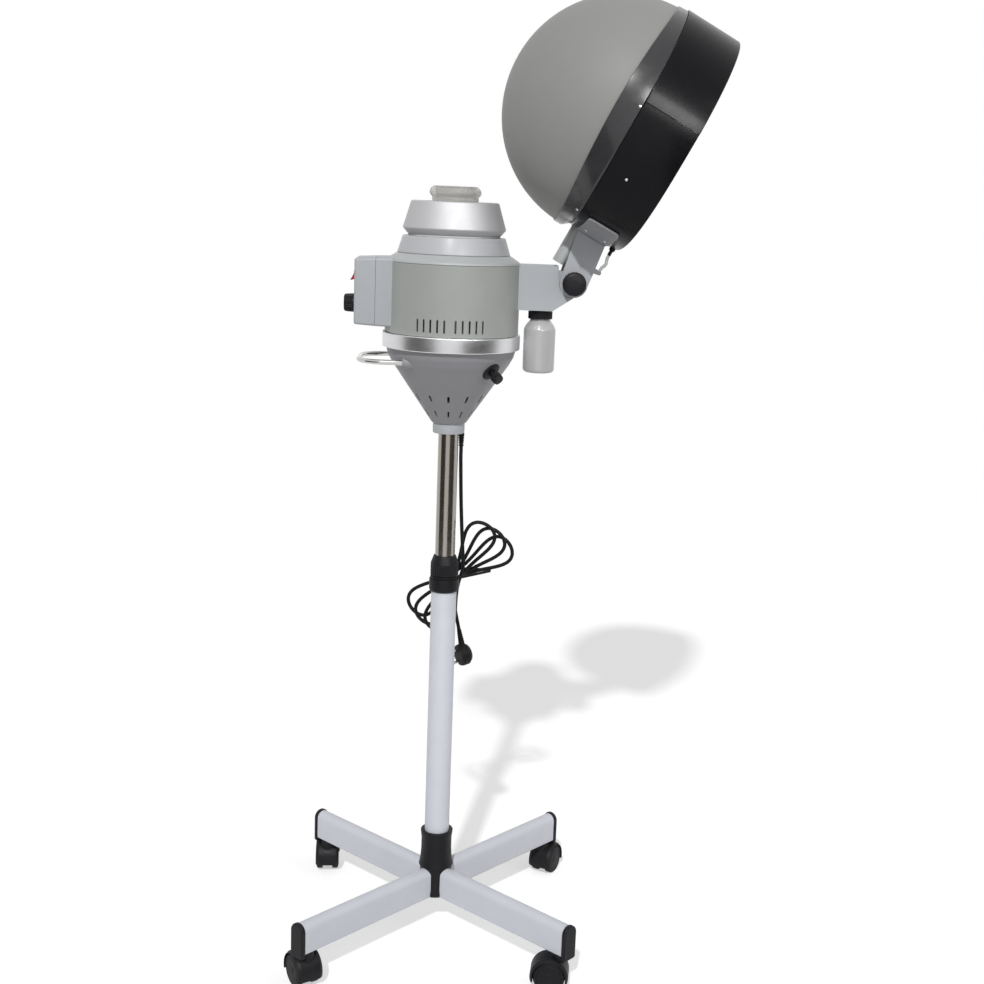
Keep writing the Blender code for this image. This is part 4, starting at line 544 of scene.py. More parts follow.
class Shading(Nodes):
    """The nodes of one finish's material."""

    def __init__(self, name: str) -> None:
        """Starts a material with a Principled shader on its output."""
        self.material = bpy.data.materials.new(name)
        self.material.use_nodes = True
        super().__init__(self.material.node_tree)
        self.surface = self.add("ShaderNodeBsdfPrincipled")
        self.join(self.surface.outputs["BSDF"], self.add("ShaderNodeOutputMaterial").inputs["Surface"])
        self.place = self.add("ShaderNodeTexCoord").outputs["Object"]

    def fix(self, **values: float | Sequence[float]) -> None:
        """Sets constant values on the shader's own sockets."""
        set_values(self.surface, **values)

    def stretched(self, stretch: Sequence[float]) -> Socket:
        """Object coordinates scaled along the three axes."""
        if tuple(stretch) == (1.0, 1.0, 1.0):
            return self.place
        mapping = self.add("ShaderNodeMapping")
        set_values(mapping, Scale=stretch)
        self.join(self.place, mapping.inputs["Vector"])
        return mapping.outputs["Vector"]

    def noise(
        self, scale: float, detail: float = 3.0, stretch: Sequence[float] = (1.0, 1.0, 1.0), rough: float = 0.55
    ) -> Socket:
        """A noise value around one half, with a number of features to the metre."""
        node = self.add("ShaderNodeTexNoise")
        set_values(node, Scale=scale, Detail=detail, Roughness=rough)
        self.join(self.stretched(stretch), node.inputs["Vector"])
        return node.outputs["Fac"]

    def ranged(self, value: Socket, low: float, high: float, start: float = 0.3, end: float = 0.7) -> Socket:
        """A value spread from one range to another."""
        node = self.add("ShaderNodeMapRange")
        set_values(node, From_Min=start, From_Max=end, To_Min=low, To_Max=high)
        self.join(value, node.inputs["Value"])
        return node.outputs["Result"]

    def tones(self, value: Socket, stops: Sequence[tuple[float, Colour]]) -> Socket:
        """A colour from a value, between the two stops of a ramp."""
        node = self.add("ShaderNodeValToRGB")
        for stop, (spot, colour) in zip(node.color_ramp.elements, stops):
            stop.position = spot
            stop.color = colour
        self.join(value, node.inputs["Fac"])
        return node.outputs["Color"]

    def worn(self, tone: Socket, rubbed: Colour) -> Socket:
        """A tone that turns to a rubbed one in patches along sharp edges."""
        eased = self.add("ShaderNodeBevel", samples=4)
        set_values(eased, Radius=WEAR_REACH)
        turn = self.add("ShaderNodeVectorMath", operation="DOT_PRODUCT")
        self.join(eased.outputs["Normal"], turn.inputs[0])
        self.join(self.add("ShaderNodeNewGeometry").outputs["Normal"], turn.inputs[1])
        both = self.add("ShaderNodeMath", operation="MULTIPLY")
        self.join(self.ranged(turn.outputs["Value"], 1.0, 0.0, *WEAR_BEND), both.inputs[0])
        self.join(self.ranged(self.noise(WEAR_PATCHES, 4.0), 0.0, 1.0, *WEAR_SPREAD), both.inputs[1])
        blend = self.add("ShaderNodeMix", data_type="RGBA")
        self.join(both.outputs[0], blend.inputs["Factor"])
        self.join(tone, blend.inputs[MIX_FIRST])
        blend.inputs[MIX_SECOND].default_value = rubbed
        return blend.outputs[MIX_RESULT]

    def relief(self, height: Socket, depth: float, strength: float, under: Socket | None = None) -> Socket:
        """A bump of a depth in metres on the shader's normal, on top of another one if given."""
        node = self.add("ShaderNodeBump")
        set_values(node, Strength=strength, Distance=depth)
        self.join(height, node.inputs["Height"])
        if under:
            self.join(under, node.inputs["Normal"])
        self.join(node.outputs["Normal"], self.surface.inputs["Normal"])
        return node.outputs["Normal"]


@dataclass(frozen=True)
class Finish:
    """A moulded plastic surface, and the base of the other finishes.

    Args:
        name: Name of the material.
        slot: The record's slot that it belongs to. Not used.
        tone: Its 8-bit display colour.
        gloss: Lowest and highest roughness.
        drift: Share by which the tone wanders.
        grain: Features of its fine relief to the metre.
        depth: Depth of the relief in metres.
        shine: How much it mirrors, one half being plain plastic.
        wear: How much paler its rubbed edges are.
    """

    name: str
    slot: str
    tone: tuple[int, int, int]
    gloss: Pair = (0.36, 0.48)
    drift: float = 0.05
    grain: float = 1400.0
    depth: float = 0.00005
    shine: float = 0.35
    wear: float = 0.25

    def material(self) -> bpy.types.Material:
        """The material, made once."""
        found = bpy.data.materials.get(self.name)
        if found:
            return found
        shading = Shading(self.name)
        self.shade(shading)
        return shading.material

    def shade(self, shading: Shading) -> None:
        """Sets up the nodes: wandering tone, wandering gloss, moulding relief and paler rubbed edges."""
        shading.fix(Specular_IOR_Level=self.shine)
        cloud = shading.noise(CLOUD, 4.0)
        stops = [(0.25, linear(self.tone, 1.0 - self.drift)), (0.75, linear(self.tone, 1.0 + self.drift))]
        tone = shading.tones(cloud, stops)
        if self.wear:
            tone = shading.worn(tone, linear(self.tone, 1.0 + self.wear))
        shading.join(tone, shading.surface.inputs["Base Color"])
        fine = shading.noise(self.grain, 2.0)
        smear = shading.noise(SMEAR, 5.0, rough=0.65)
        shading.join(shading.ranged(smear, *self.gloss), shading.surface.inputs["Roughness"])
        shading.relief(fine, self.depth, 0.35)

    def dress(self, piece: Piece) -> None:
        """Puts the finish on a piece in place of what it had."""
        piece.data.materials.clear()
        piece.data.materials.append(self.material())


@dataclass(frozen=True)
class Paint(Finish):
    """Sprayed enamel on metal, with orange peel and a thin coat of gloss."""

    coat: float = 0.25

    def shade(self, shading: Shading) -> None:
        """Adds the orange peel, the specks of spray and the gloss coat."""
        super().shade(shading)
        shading.fix(Coat_Weight=self.coat, Coat_Roughness=0.22)
        peel = shading.noise(PEEL, 1.0)
        spray = shading.noise(self.grain * 2, 1.0)
        shading.relief(peel, PEEL_DEPTH, 0.22, shading.relief(spray, self.depth, 0.25))


@dataclass(frozen=True)
class Gloss(Finish):
    """Polished plastic: a deep coat, faint waves from the mould and a film of dust."""

    coat: float = 0.6

    def shade(self, shading: Shading) -> None:
        """Adds the coat, the long waves and dust specks in the gloss."""
        super().shade(shading)
        shading.fix(Coat_Weight=self.coat, Coat_Roughness=0.12)
        dust = shading.relief(shading.noise(DUST, 2.0), self.depth, 0.1)
        shading.relief(shading.noise(WAVES, 1.0), WAVE_DEPTH, 0.10, dust)


@dataclass(frozen=True)
class Rubber(Finish):
    """Matt rubber or soft vinyl."""

    def shade(self, shading: Shading) -> None:
        """Adds the dull sheen of soft vinyl."""
        super().shade(shading)
        shading.fix(Sheen_Weight=0.04, Sheen_Roughness=0.4)


@dataclass(frozen=True)
class Metal(Finish):
    """Bare metal with the fine lines of turning or drawing.

    Args:
        stretch: Scale of the lines along the three axes, small along a line.
        turned: How strongly the lines draw out the reflections.
        bare: Share of bare metal under a satin lacquer.
    """

    stretch: Triple = (1.0, 1.0, 1.0)
    turned: float = 0.0
    bare: float = 1.0

    def shade(self, shading: Shading) -> None:
        """Sets up the lines in tone, gloss and relief, and the drawn-out reflections."""
        shading.fix(Metallic=self.bare)
        lines = shading.noise(self.grain, 4.0, self.stretch, 0.6)
        stops = [(0.2, linear(self.tone, 1.0 - self.drift)), (0.8, linear(self.tone, 1.0 + self.drift))]
        shading.join(shading.tones(lines, stops), shading.surface.inputs["Base Color"])
        smear = shading.noise(METAL_SMEAR, 5.0, rough=0.65)
        shading.join(shading.ranged(smear, *self.gloss), shading.surface.inputs["Roughness"])
        shading.relief(lines, self.depth, 0.05)
        if self.turned:
            shading.fix(Anisotropic=self.turned)
            tangent = shading.add("ShaderNodeTangent", direction_type="RADIAL", axis="Z")
            shading.join(tangent.outputs["Tangent"], shading.surface.inputs["Tangent"])


@dataclass(frozen=True)
class Clear(Finish):
    """See-through plastic or hose with a faint haze.

    Args:
        passing: Share of light that passes through.
        bend: Index of refraction.
    """

    passing: float = 0.9
    bend: float = 1.45

    def shade(self, shading: Shading) -> None:
        """Lets light through the shaded plastic."""
        super().shade(shading)
        shading.fix(Transmission_Weight=self.passing, IOR=self.bend)


WHITE_PAINT = Paint("white_enamel", "white_paint", (217, 219, 228), (0.30, 0.42), 0.02, 1500.0, 0.00003, coat=0.1)
# The legs' enamel is the column's white enamel made a little darker: painted shade on the legs.
SHADED_LEG_PAINT = Paint("leg_enamel_painted_shade", "white_paint", (211, 213, 221), (0.30, 0.42), 0.02, 1500.0, 0.00003, coat=0.1)
GREY_PAINT = Paint("jacket_enamel", "grey_paint", (164, 167, 163), (0.44, 0.54), 0.03, 1800.0, 0.00003, coat=0.1)
BLACK_PLASTIC = Finish("black_moulding", "black_plastic", (27, 27, 30), (0.40, 0.55), 0.18, 1600.0, 0.00007, 0.16, 1.6)
BLACK_RUBBER = Rubber("black_vinyl", "black_rubber", (22, 22, 24), (0.48, 0.62), 0.15, 1900.0, 0.00006, 0.14, 1.6)
TREAD_RUBBER = Rubber("wheel_rubber", "black_rubber", (27, 27, 29), (0.50, 0.66), 0.2, 1300.0, 0.00008, 0.14, 1.6)
LIGHT_GREY = Finish("light_grey_moulding", "light_grey_plastic", (178, 181, 185), (0.38, 0.5), 0.02, 1700.0)
SHOULDER_GREY = Finish("shoulder_moulding", "light_grey_plastic", (184, 187, 187), (0.36, 0.48), 0.02, 1700.0)
SILVER_GREY = Paint(
    "silver_lacquer", "light_grey_plastic", (188, 190, 193), (0.34, 0.44), 0.03, 2600.0, 0.00003, coat=0.15
)
DARK_GREY = Finish("dark_grey_moulding", "dark_grey_plastic", (147, 147, 151), (0.42, 0.54), 0.03, 1500.0)
DOME_GREY = Finish("smoked_dome", "dome_grey_gloss", (151, 151, 149), (0.50, 0.58), 0.015, 1200.0, 0.00001, 0.22)
BLACK_GLOSS = Gloss(
    "black_gloss_moulding", "black_gloss", (11, 11, 15), (0.24, 0.30), 0.15, 900.0, 0.00001, 0.10, coat=0.06
)
# The collar's gloss is the black gloss with a lighter base tone, which is painted sheen for its reflections; its
# higher shine and coat mirror for real.
COLLAR_SHEEN_GLOSS = Gloss(
    "collar_gloss_painted_sheen", "black_gloss", (52, 52, 54), (0.22, 0.30), 0.12, 1400.0, 0.00002, 0.3, coat=0.2
)
DRAWN, TURNED = (1.0, 1.0, 0.02), (0.04, 0.04, 1.0)  # scales of the fine lines along the three axes
CHROME = Metal("chrome_plate", "chrome", (160, 155, 148), (0.14, 0.20), 0.04, 900.0, 0.00001, stretch=DRAWN)
HANDLE_CHROME = Metal("handle_chrome", "chrome", (196, 195, 193), (0.08, 0.14), 0.04, 900.0, 0.00001)
ALUMINIUM = Metal(
    "turned_aluminium", "aluminium", (216, 216, 218), (0.27, 0.33), 0.03, 500.0, 0.00001, stretch=TURNED, turned=0.5
)
LID_ALUMINIUM = Metal(
    "satin_aluminium", "aluminium", (189, 189, 191), (0.58, 0.64), 0.02, 500.0, 0.00001,
    stretch=TURNED, turned=0.15, bare=0.55,
)
POT_ALUMINIUM = Metal("pot_aluminium", "aluminium", (190, 190, 192), (0.32, 0.46), 0.08, 500.0, 0.00003)
STEEL = Metal("plain_steel", "steel", (170, 170, 172), (0.30, 0.45), 0.08, 500.0, 0.00003)
SCREW_STEEL = Metal("screw_steel", "steel", (205, 205, 205), (0.22, 0.34), 0.06, 900.0, 0.00002)
SILICONE = Rubber("white_silicone", "white_silicone", (214, 214, 208), (0.45, 0.6), 0.03, 1200.0, 0.00004)
CLEAR_PLASTIC = Clear(
    "clear_cap", "clear_plastic", (216, 215, 212), (0.10, 0.16), 0.01, 300.0, 0.000002,
    wear=0.0, passing=0.72, bend=1.2,
)
CLEAR_HOSE = Clear(
    "clear_hose", "clear_plastic", (214, 216, 216), (0.10, 0.2), 0.02, 700.0, 0.00002, wear=0.0, passing=0.6
)
MILKY_PLASTIC = Gloss(
    "milky_bottle", "milky_plastic", (186, 186, 187), (0.20, 0.28), 0.015, 400.0, 0.00001, 0.5, coat=0.3
)
RED_PLASTIC = Gloss("red_rocker", "red_plastic", (172, 28, 44), (0.22, 0.32), 0.05, 1400.0, 0.00002, coat=0.3)
DIAL_WHITE = Finish("dial_print", "white_paint", (225, 226, 226), (0.4, 0.5), 0.02, 1500.0)


@dataclass
class Fitted:
    """A piece with where it belongs."""

    piece: Piece
    body: str
    finish: Finish
    nodes: tuple[str, ...]


@dataclass
class Assembly:
    """A sub-assembly of the steamer: it builds its pieces and then dresses them."""

    stand: Matrix
    fitted: list[Fitted] = field(default_factory=list, init=False)

    def add(self, piece: Piece, body: str, finish: Finish, *nodes: str) -> Piece:
        """Notes a piece, the body that it rides on, its finish and the CAD nodes that it stands for."""
        self.fitted.append(Fitted(piece, body, finish, nodes))
        return piece

    def build(self) -> None:
        """Makes the pieces."""
        raise NotImplementedError

    def dress(self) -> None:
        """Gives each piece its finish, its body and the nodes that it replaces."""
        for item in self.fitted:
            item.finish.dress(item.piece)
            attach(item.piece, item.body)
            if item.nodes:
                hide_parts(*item.nodes)
            log.info("%s rides on %s for %s", item.piece.name, item.body, ", ".join(item.nodes) or "no node")


def facing(axis: str, angle: float, at: Sequence[float] = (0.0, 0.0, 0.0)) -> Matrix:
    """A frame moved to a place and turned about one axis by an angle in degrees."""
    return Matrix.Translation(Vector(at)) @ Matrix.Rotation(math.radians(angle), 4, axis)


def smooth_route(route: Spots, spacing: float) -> list[Vector]:
    """Evenly spaced points on a smooth curve through a route whose two end stretches stay straight.

    Args:
        route: The points to go through.
        spacing: Distance between the points of the curve.

    Returns:
        The curve's points.
    """
    spots = [Vector(point) for point in route]
    slopes = [(after - before) / 2 for before, after in zip(spots, spots[2:])]
    slopes[0] = (spots[1] - spots[0]).normalized() * (spots[2] - spots[1]).length
    slopes[-1] = (spots[-1] - spots[-2]).normalized() * (spots[-2] - spots[-3]).length
    fine: list[Vector] = []
    for start, end, leaving, arriving in zip(spots[1:], spots[2:-1], slopes, slopes[1:]):
        fine += interpolate_bezier(start, start + leaving / 3, end - arriving / 3, end, 24)[:-1]
    fine.append(spots[-2])
    total = length_of(fine)
    count = max(2, round(total / spacing))
    picked = [spots[0], fine[0]]
    walked = 0.0
    for a, b in zip(fine, fine[1:]):
        step = (b - a).length
        while walked + step >= total / count * (len(picked) - 1) and len(picked) <= count:
            picked.append(a.lerp(b, (total / count * (len(picked) - 1) - walked) / step))
        walked += step
    line = [*picked, spots[-2], spots[-1]]
    return [spot for i, spot in enumerate(line) if i == 0 or (spot - line[i - 1]).length > TINY]


def length_of(points: Sequence[Vector]) -> float:
    """Length of a run of points."""
    return sum((b - a).length for a, b in zip(points, points[1:]))


@dataclass
class MainsLead(Assembly):
    """The mains lead: the drop beside the mast, the hank tied behind the column, the tail and the plug."""

    radius: float = 0.003
    gland: Pair = GLAND_AT
    gland_foot: float = GLAND_FOOT
    hank_z: float = 0.606
    hank_half: float = 0.100
    hank_waist: float = 0.006
    hank_lobe: float = 0.048
    first_tilt: float = 77.0
    tilt_step: float = -14.5
    first_y: float = 0.0317
    pitch: float = 0.0069
    hank_shift: float = 0.0147
    hank_turn: float = -10.0
    loops: int = 3
    end_angle: float = 80.0
    plug_top: Triple = (0.0271, 0.0540, 0.5090)
    plug_lean: float = 12.0
    plug_face: float = 28.0
    relief: float = 0.026
    relief_radius: float = 0.0052
    plug_radius: float = 0.0185
    plug_depth: float = 0.020
    pin: Pair = (0.0024, 0.019)  # radius and length
    pin_gap: float = 0.019
    groove: Triple = GROOVE
    drop_route: tuple[Triple, ...] = (
        (0.0214, 0.0068, 0.790), (0.0230, 0.0118, 0.748), (0.0252, 0.0172, 0.706), (0.0276, 0.0225, 0.668),
        (0.0296, 0.0262, 0.640),
    )
    tail_route: tuple[Triple, ...] = (
        (0.0226, 0.0512, 0.5985), (0.0166, 0.0535, 0.5906), (0.0135, 0.0553, 0.5811), (0.0139, 0.0560, 0.5710),
        (0.0162, 0.0559, 0.5603), (0.0193, 0.0554, 0.5456), (0.0224, 0.0548, 0.5309),
    )

    def hank_point(self, turns: float) -> Vector:
        """The lead's middle line in the hank after a number of turns."""
        phase = 2 * math.pi * turns
        along = self.hank_half * math.cos(phase)
        across = -math.sin(phase) * (self.hank_waist + self.hank_lobe * math.cos(phase) ** 2)
        tilt = math.radians(self.first_tilt + self.tilt_step * turns)
        x = self.hank_shift + along * math.cos(tilt) - across * math.sin(tilt)
        z = self.hank_z + along * math.sin(tilt) + across * math.cos(tilt)
        turn = Matrix.Rotation(math.radians(self.hank_turn), 3, "Z")
        return turn @ Vector((x, self.first_y + self.pitch * turns, z))

    def plug_frame(self) -> Matrix:
        """The plug's own frame at the top of its strain relief, hanging with a lean."""
        return Matrix.Translation(self.plug_top) @ facing("Y", -self.plug_lean) @ facing("Z", self.plug_face)

    def routes(self) -> tuple[list[Vector], list[Vector]]:
        """The middle lines of the drop and of the hank with its tail, in the stand's frame."""
        first, last, step = 0.25, self.loops + self.end_angle / 360.0, 0.002
        start, end = self.hank_point(first), self.hank_point(last)
        inward = (self.hank_point(first + step) - start).normalized()
        outward = (end - self.hank_point(last - step)).normalized()
        straight = 2 * self.radius
        foot = Vector((*self.gland, self.gland_foot - FIT))
        below = foot - Vector((0.0, 0.0, 2 * straight))
        entry = start - inward * (straight + FIT)
        drop = smooth_route([foot, below, *self.drop_route, entry - inward * straight, entry], 0.004)
        steps = round((last - first) * 96)
        hank = [self.hank_point(first + (last - first) * i / steps) for i in range(steps + 1)]
        leave = end + outward * (straight + FIT)
        top = Vector(self.plug_top)
        above = self.plug_frame() @ Vector((0.0, 0.0, straight))
        tail = smooth_route([leave, leave + outward * straight, *self.tail_route, above, top], 0.004)
        return drop, [entry, start - inward * straight, *hank, end + outward * straight, *tail]

    def build(self) -> None:
        """Makes the drop, the hank, the plug and the tie."""
        drop_line, hank_line = self.routes()
        self.drop_line = [self.stand @ spot for spot in drop_line]
        self.hank_line = [self.stand @ spot for spot in hank_line]
        self.drop = tube("lead_drop", drop_line, self.radius, self.stand, 14)
        hank = tube("lead_hank", hank_line, self.radius, self.stand, 14)
        self.hank = self.add(hank, "base", BLACK_RUBBER, "cord_hank", "cord_tail")
        self.plug = self.add(self.make_plug(), "base", BLACK_RUBBER, "plug")
        self.pins = self.add(self.make_pins(), "base", HANDLE_CHROME)
        self.tie = self.add(self.make_tie(), "base", BLACK_RUBBER, "cord_tie")

    def plug_place(self, rise: float = 0.0) -> Matrix:
        """Where the plug's round body sits, facing its pins, or a spot that far above its middle."""
        drop = Vector((0.0, 0.0, rise - FIT - self.relief - self.plug_radius))
        return self.stand @ self.plug_frame() @ Matrix.Translation(drop) @ facing("Y", -90.0)

    def make_plug(self) -> Piece:
        """The right-angle plug: a round body with a grip rim, and its ribbed strain relief."""
        half, rim = self.plug_depth / 2, self.plug_radius
        body = [(0.0, -half), (rim * 0.72, -half), (rim * 0.80, -half + 0.0016), (rim, -half + 0.006)]
        body += [(rim, half - 0.004), (rim - 0.0008, half - 0.0034), (rim - 0.0008, half), (0.0, half)]
        grip = Flutes(36, 0.0005, -0.003, 0.004)
        plug = lathe("plug_body", rounded(body, 0.0016), self.plug_place(), 72, flutes=grip)
        low = -self.relief - rim * 0.4
        line: list[Pair] = [(0.0, low), (self.relief_radius, low), (self.relief_radius, -0.0235)]
        for i in range(6):
            top = -0.0225 + i * 0.0035
            crest = self.relief_radius - (self.relief_radius - 0.0038) * (i + 0.5) / 6
            dip = crest - 0.0009
            line += [(crest, top), (crest, top + 0.0019), (dip, top + 0.0022), (dip, top + 0.0034)]
        line += [(0.0036, -0.0014), (0.0036, 0.0), (0.0, 0.0)]
        place = self.stand @ self.plug_frame() @ Matrix.Translation((0.0, 0.0, -FIT))
        relief = lathe("plug_relief", line, place, 32)
        return gathered("lead_plug", [plug, relief])

    def make_pins(self) -> Piece:
        """The plug's two round pins."""
        radius, length = self.pin
        half = self.plug_depth / 2
        pin = rounded(oblong(0.0, half - 0.002, radius, half + length), 0.0011)
        parts = [lathe("pin", pin, self.plug_place(side * self.pin_gap), 24) for side in (-0.5, 0.5)]
        return gathered("plug_pins", parts)

    def make_tie(self) -> Piece:
        """The strap that ties the hank's waist to the sleeve's groove."""
        radius, low, high = self.groove
        bottom, top = low + FIT, high - FIT
        spots = arc((0.0, 0.0), radius + FIT, 0.0, 360.0, 96)
        for line in self.routes():
            held = [spot for spot in line if bottom - self.radius < spot.z < top + self.radius]
            for spot in held:
                spots += arc((spot.x, spot.y), self.radius + 0.0004, 0.0, 360.0, 24)
        inner = [Vector(spots[i]) for i in convex_hull_2d([tuple(spot) for spot in spots])]
        sections = []
        for before, here, after in zip(inner[-1:] + inner, inner, inner[1:] + inner[:1]):
            edge = (after - before).normalized()
            outer = here + Vector((edge.y, -edge.x)) * 0.0013
            section = [(here, bottom), (outer, bottom), (outer, top), (here, top)]
            sections.append([Vector((spot.x, spot.y, z)) for spot, z in section])
        return softened(loft("hank_tie", sections, self.stand, True), 0.0003, 2)

    def dress(self) -> None:
        super().dress()
        BLACK_RUBBER.dress(self.drop)
        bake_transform(self.drop)
        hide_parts("cord_drop")
        log.info("lead %.3f m", length_of(self.drop_line) + length_of(self.hank_line))


@dataclass
class Caster(Assembly):
    """A twin-wheel caster: its hooded housing with the stem's boss, and the pair of wheels."""

    name: str = ""
    angle: float = 0.0
    heading: float = 0.0
    reach: float = 0.278
    trail: float = 0.014
    wheel: float = 0.025
    web: float = 0.016
    width: float = 0.011
    gap: float = 0.0008
    hood_inner: float = 0.0265
    hood_outer: float = 0.0305
    overhang: float = 0.001
    skirt: float = 0.016
    boss: float = 0.0105
    boss_top: float = 0.0615

    def build(self) -> None:
        """Makes the housing and the wheels."""
        turn = math.radians(self.angle)
        spot = (self.reach * math.cos(turn), self.reach * math.sin(turn), 0.0)
        place = self.stand @ facing("Z", self.heading, spot)
        axle = place @ facing("X", 90.0, (self.trail, 0.0, self.wheel))
        out = self.web / 2 + self.gap + self.width
        half = out + self.overhang
        hood = [
            (self.hood_inner, -half), (self.hood_outer - 0.0030, -half), (self.hood_outer, -half + 0.005),
            (self.hood_outer, half - 0.005), (self.hood_outer - 0.0030, half), (self.hood_inner, half),
        ]
        side = math.degrees(math.asin((self.skirt - self.wheel) / self.hood_outer))
        sweep = (side, 180.0 - side)
        shroud = lathe("shroud", rounded(hood, 0.0022, 5, True), axle, 72, sweep)
        disc = arc((0.0, 0.0), self.hood_inner + 0.001, *sweep, 48)
        web = slab("web", disc, (-self.web / 2, self.web / 2), Plane.XY, axle, 0.001)
        stem = [(0.0, self.wheel + 0.012), (self.boss, self.wheel + 0.012), (self.boss, self.boss_top - 0.003)]
        stem += [(self.boss - 0.0015, self.boss_top), (0.005, self.boss_top), (0.005, 0.086), (0.0, 0.086)]
        boss = lathe("boss", rounded(stem, 0.0008, 3), place, 48)
        housing = gathered(f"caster_hood_{self.name}", [shroud, web, boss])
        self.add(softened(housing, 0.0004, 2), f"caster_{self.name}", BLACK_PLASTIC, f"caster_{self.name}")
        inner = self.web / 2 + self.gap
        line = [(0.003, 0.0), (0.003, inner), (self.wheel - 0.0004, inner), (self.wheel, inner + 0.0008)]
        line += [(self.wheel, out - 0.0026), (self.wheel - 0.0022, out - 0.0004), (self.wheel - 0.0044, out - 0.0004)]
        line += [(self.wheel - 0.0050, out - 0.0012), (self.wheel - 0.0058, out - 0.0012)]
        line += [(self.wheel - 0.0064, out - 0.0003), (0.0062, out - 0.0006), (0.0052, out), (0.0, out)]
        near = rounded(line, 0.0008, 3)
        profile = [Vector((r, -z)) for r, z in reversed(near)] + near
        wheels = lathe(f"caster_wheels_{self.name}", profile, axle, 72)
        self.add(wheels, f"wheels_{self.name}", TREAD_RUBBER, f"wheels_{self.name}")


@dataclass
class RollingBase(Assembly):
    """The four-legged base: the hub, the legs and their end caps."""

    reach: float = 0.300
    width: float = 0.025
    height: float = 0.050
    underside: float = 0.062
    cap: float = 0.008
    lip: float = 0.0014
    drop: float = 0.005
    hub: float = 0.0268
    flare: float = 0.0285
    neck: float = 0.0252
    rim: float = 0.0268
    top: float = 0.176
    bore: float = 0.0208
    legs: tuple[tuple[str, float], ...] = (
        ("front_right", -45.0), ("back_right", 45.0), ("back_left", 135.0), ("front_left", 225.0),
    )

    def outline(self, grow: float, drop: float) -> list[Vector]:
        """A leg's section: a flat underside with small corners and a half-round top."""
        half = self.width / 2 + grow
        spring = self.underside + self.height - self.width / 2
        bottom = self.underside - grow - drop
        corner = 0.003 + grow
        line = arc((0.0, spring), half, 0.0, 180.0, 32)
        line += arc((-half + corner, bottom + corner), corner, 180.0, 270.0, 5)
        line += arc((half - corner, bottom + corner), corner, 270.0, 360.0, 5)
        return line

    def build(self) -> None:
        """Makes the hub, and a leg and its cap for each corner."""
        leg_top = self.underside + self.height
        body = [
            (0.0, self.underside), (self.hub - 0.001, self.underside),
            (self.hub + 0.0006, self.underside + 0.004), (self.hub - 0.0022, self.underside + 0.026),
            (self.hub, leg_top + FIT), (self.flare, leg_top + 0.0012), (self.flare, leg_top + 0.003),
            (self.neck + 0.0012, leg_top + 0.013), (self.neck, leg_top + 0.030), (self.neck, self.top - 0.014),
            (self.rim - 0.0002, self.top - 0.0030), (self.rim, self.top - 0.0008), (self.rim - 0.0008, self.top),
            (self.bore + 0.0008, self.top), (self.bore, self.top - 0.001), (self.bore, self.underside + 0.008),
            (0.0, self.underside + 0.008),
        ]
        hub = lathe("base_hub", rounded(body, 0.0016), self.stand, 96)
        self.add(hub, "base", BLACK_PLASTIC, "hub")
        end = self.reach - self.cap - FIT
        for name, angle in self.legs:
            place = self.stand @ facing("Z", angle)
            start = math.sqrt(self.hub**2 - (self.width / 2) ** 2) - 0.0006
            leg = slab(f"leg_tube_{name}", self.outline(0.0, 0.0), (start, end), Plane.YZ, place)
            self.add(leg, "base", SHADED_LEG_PAINT, f"leg_{name}")
            cap = slab(f"leg_end_{name}", self.outline(self.lip, self.drop), (end + FIT, self.reach), Plane.YZ, place)
            self.add(softened(cap, 0.0024, 4), "base", BLACK_PLASTIC, f"leg_cap_{name}")


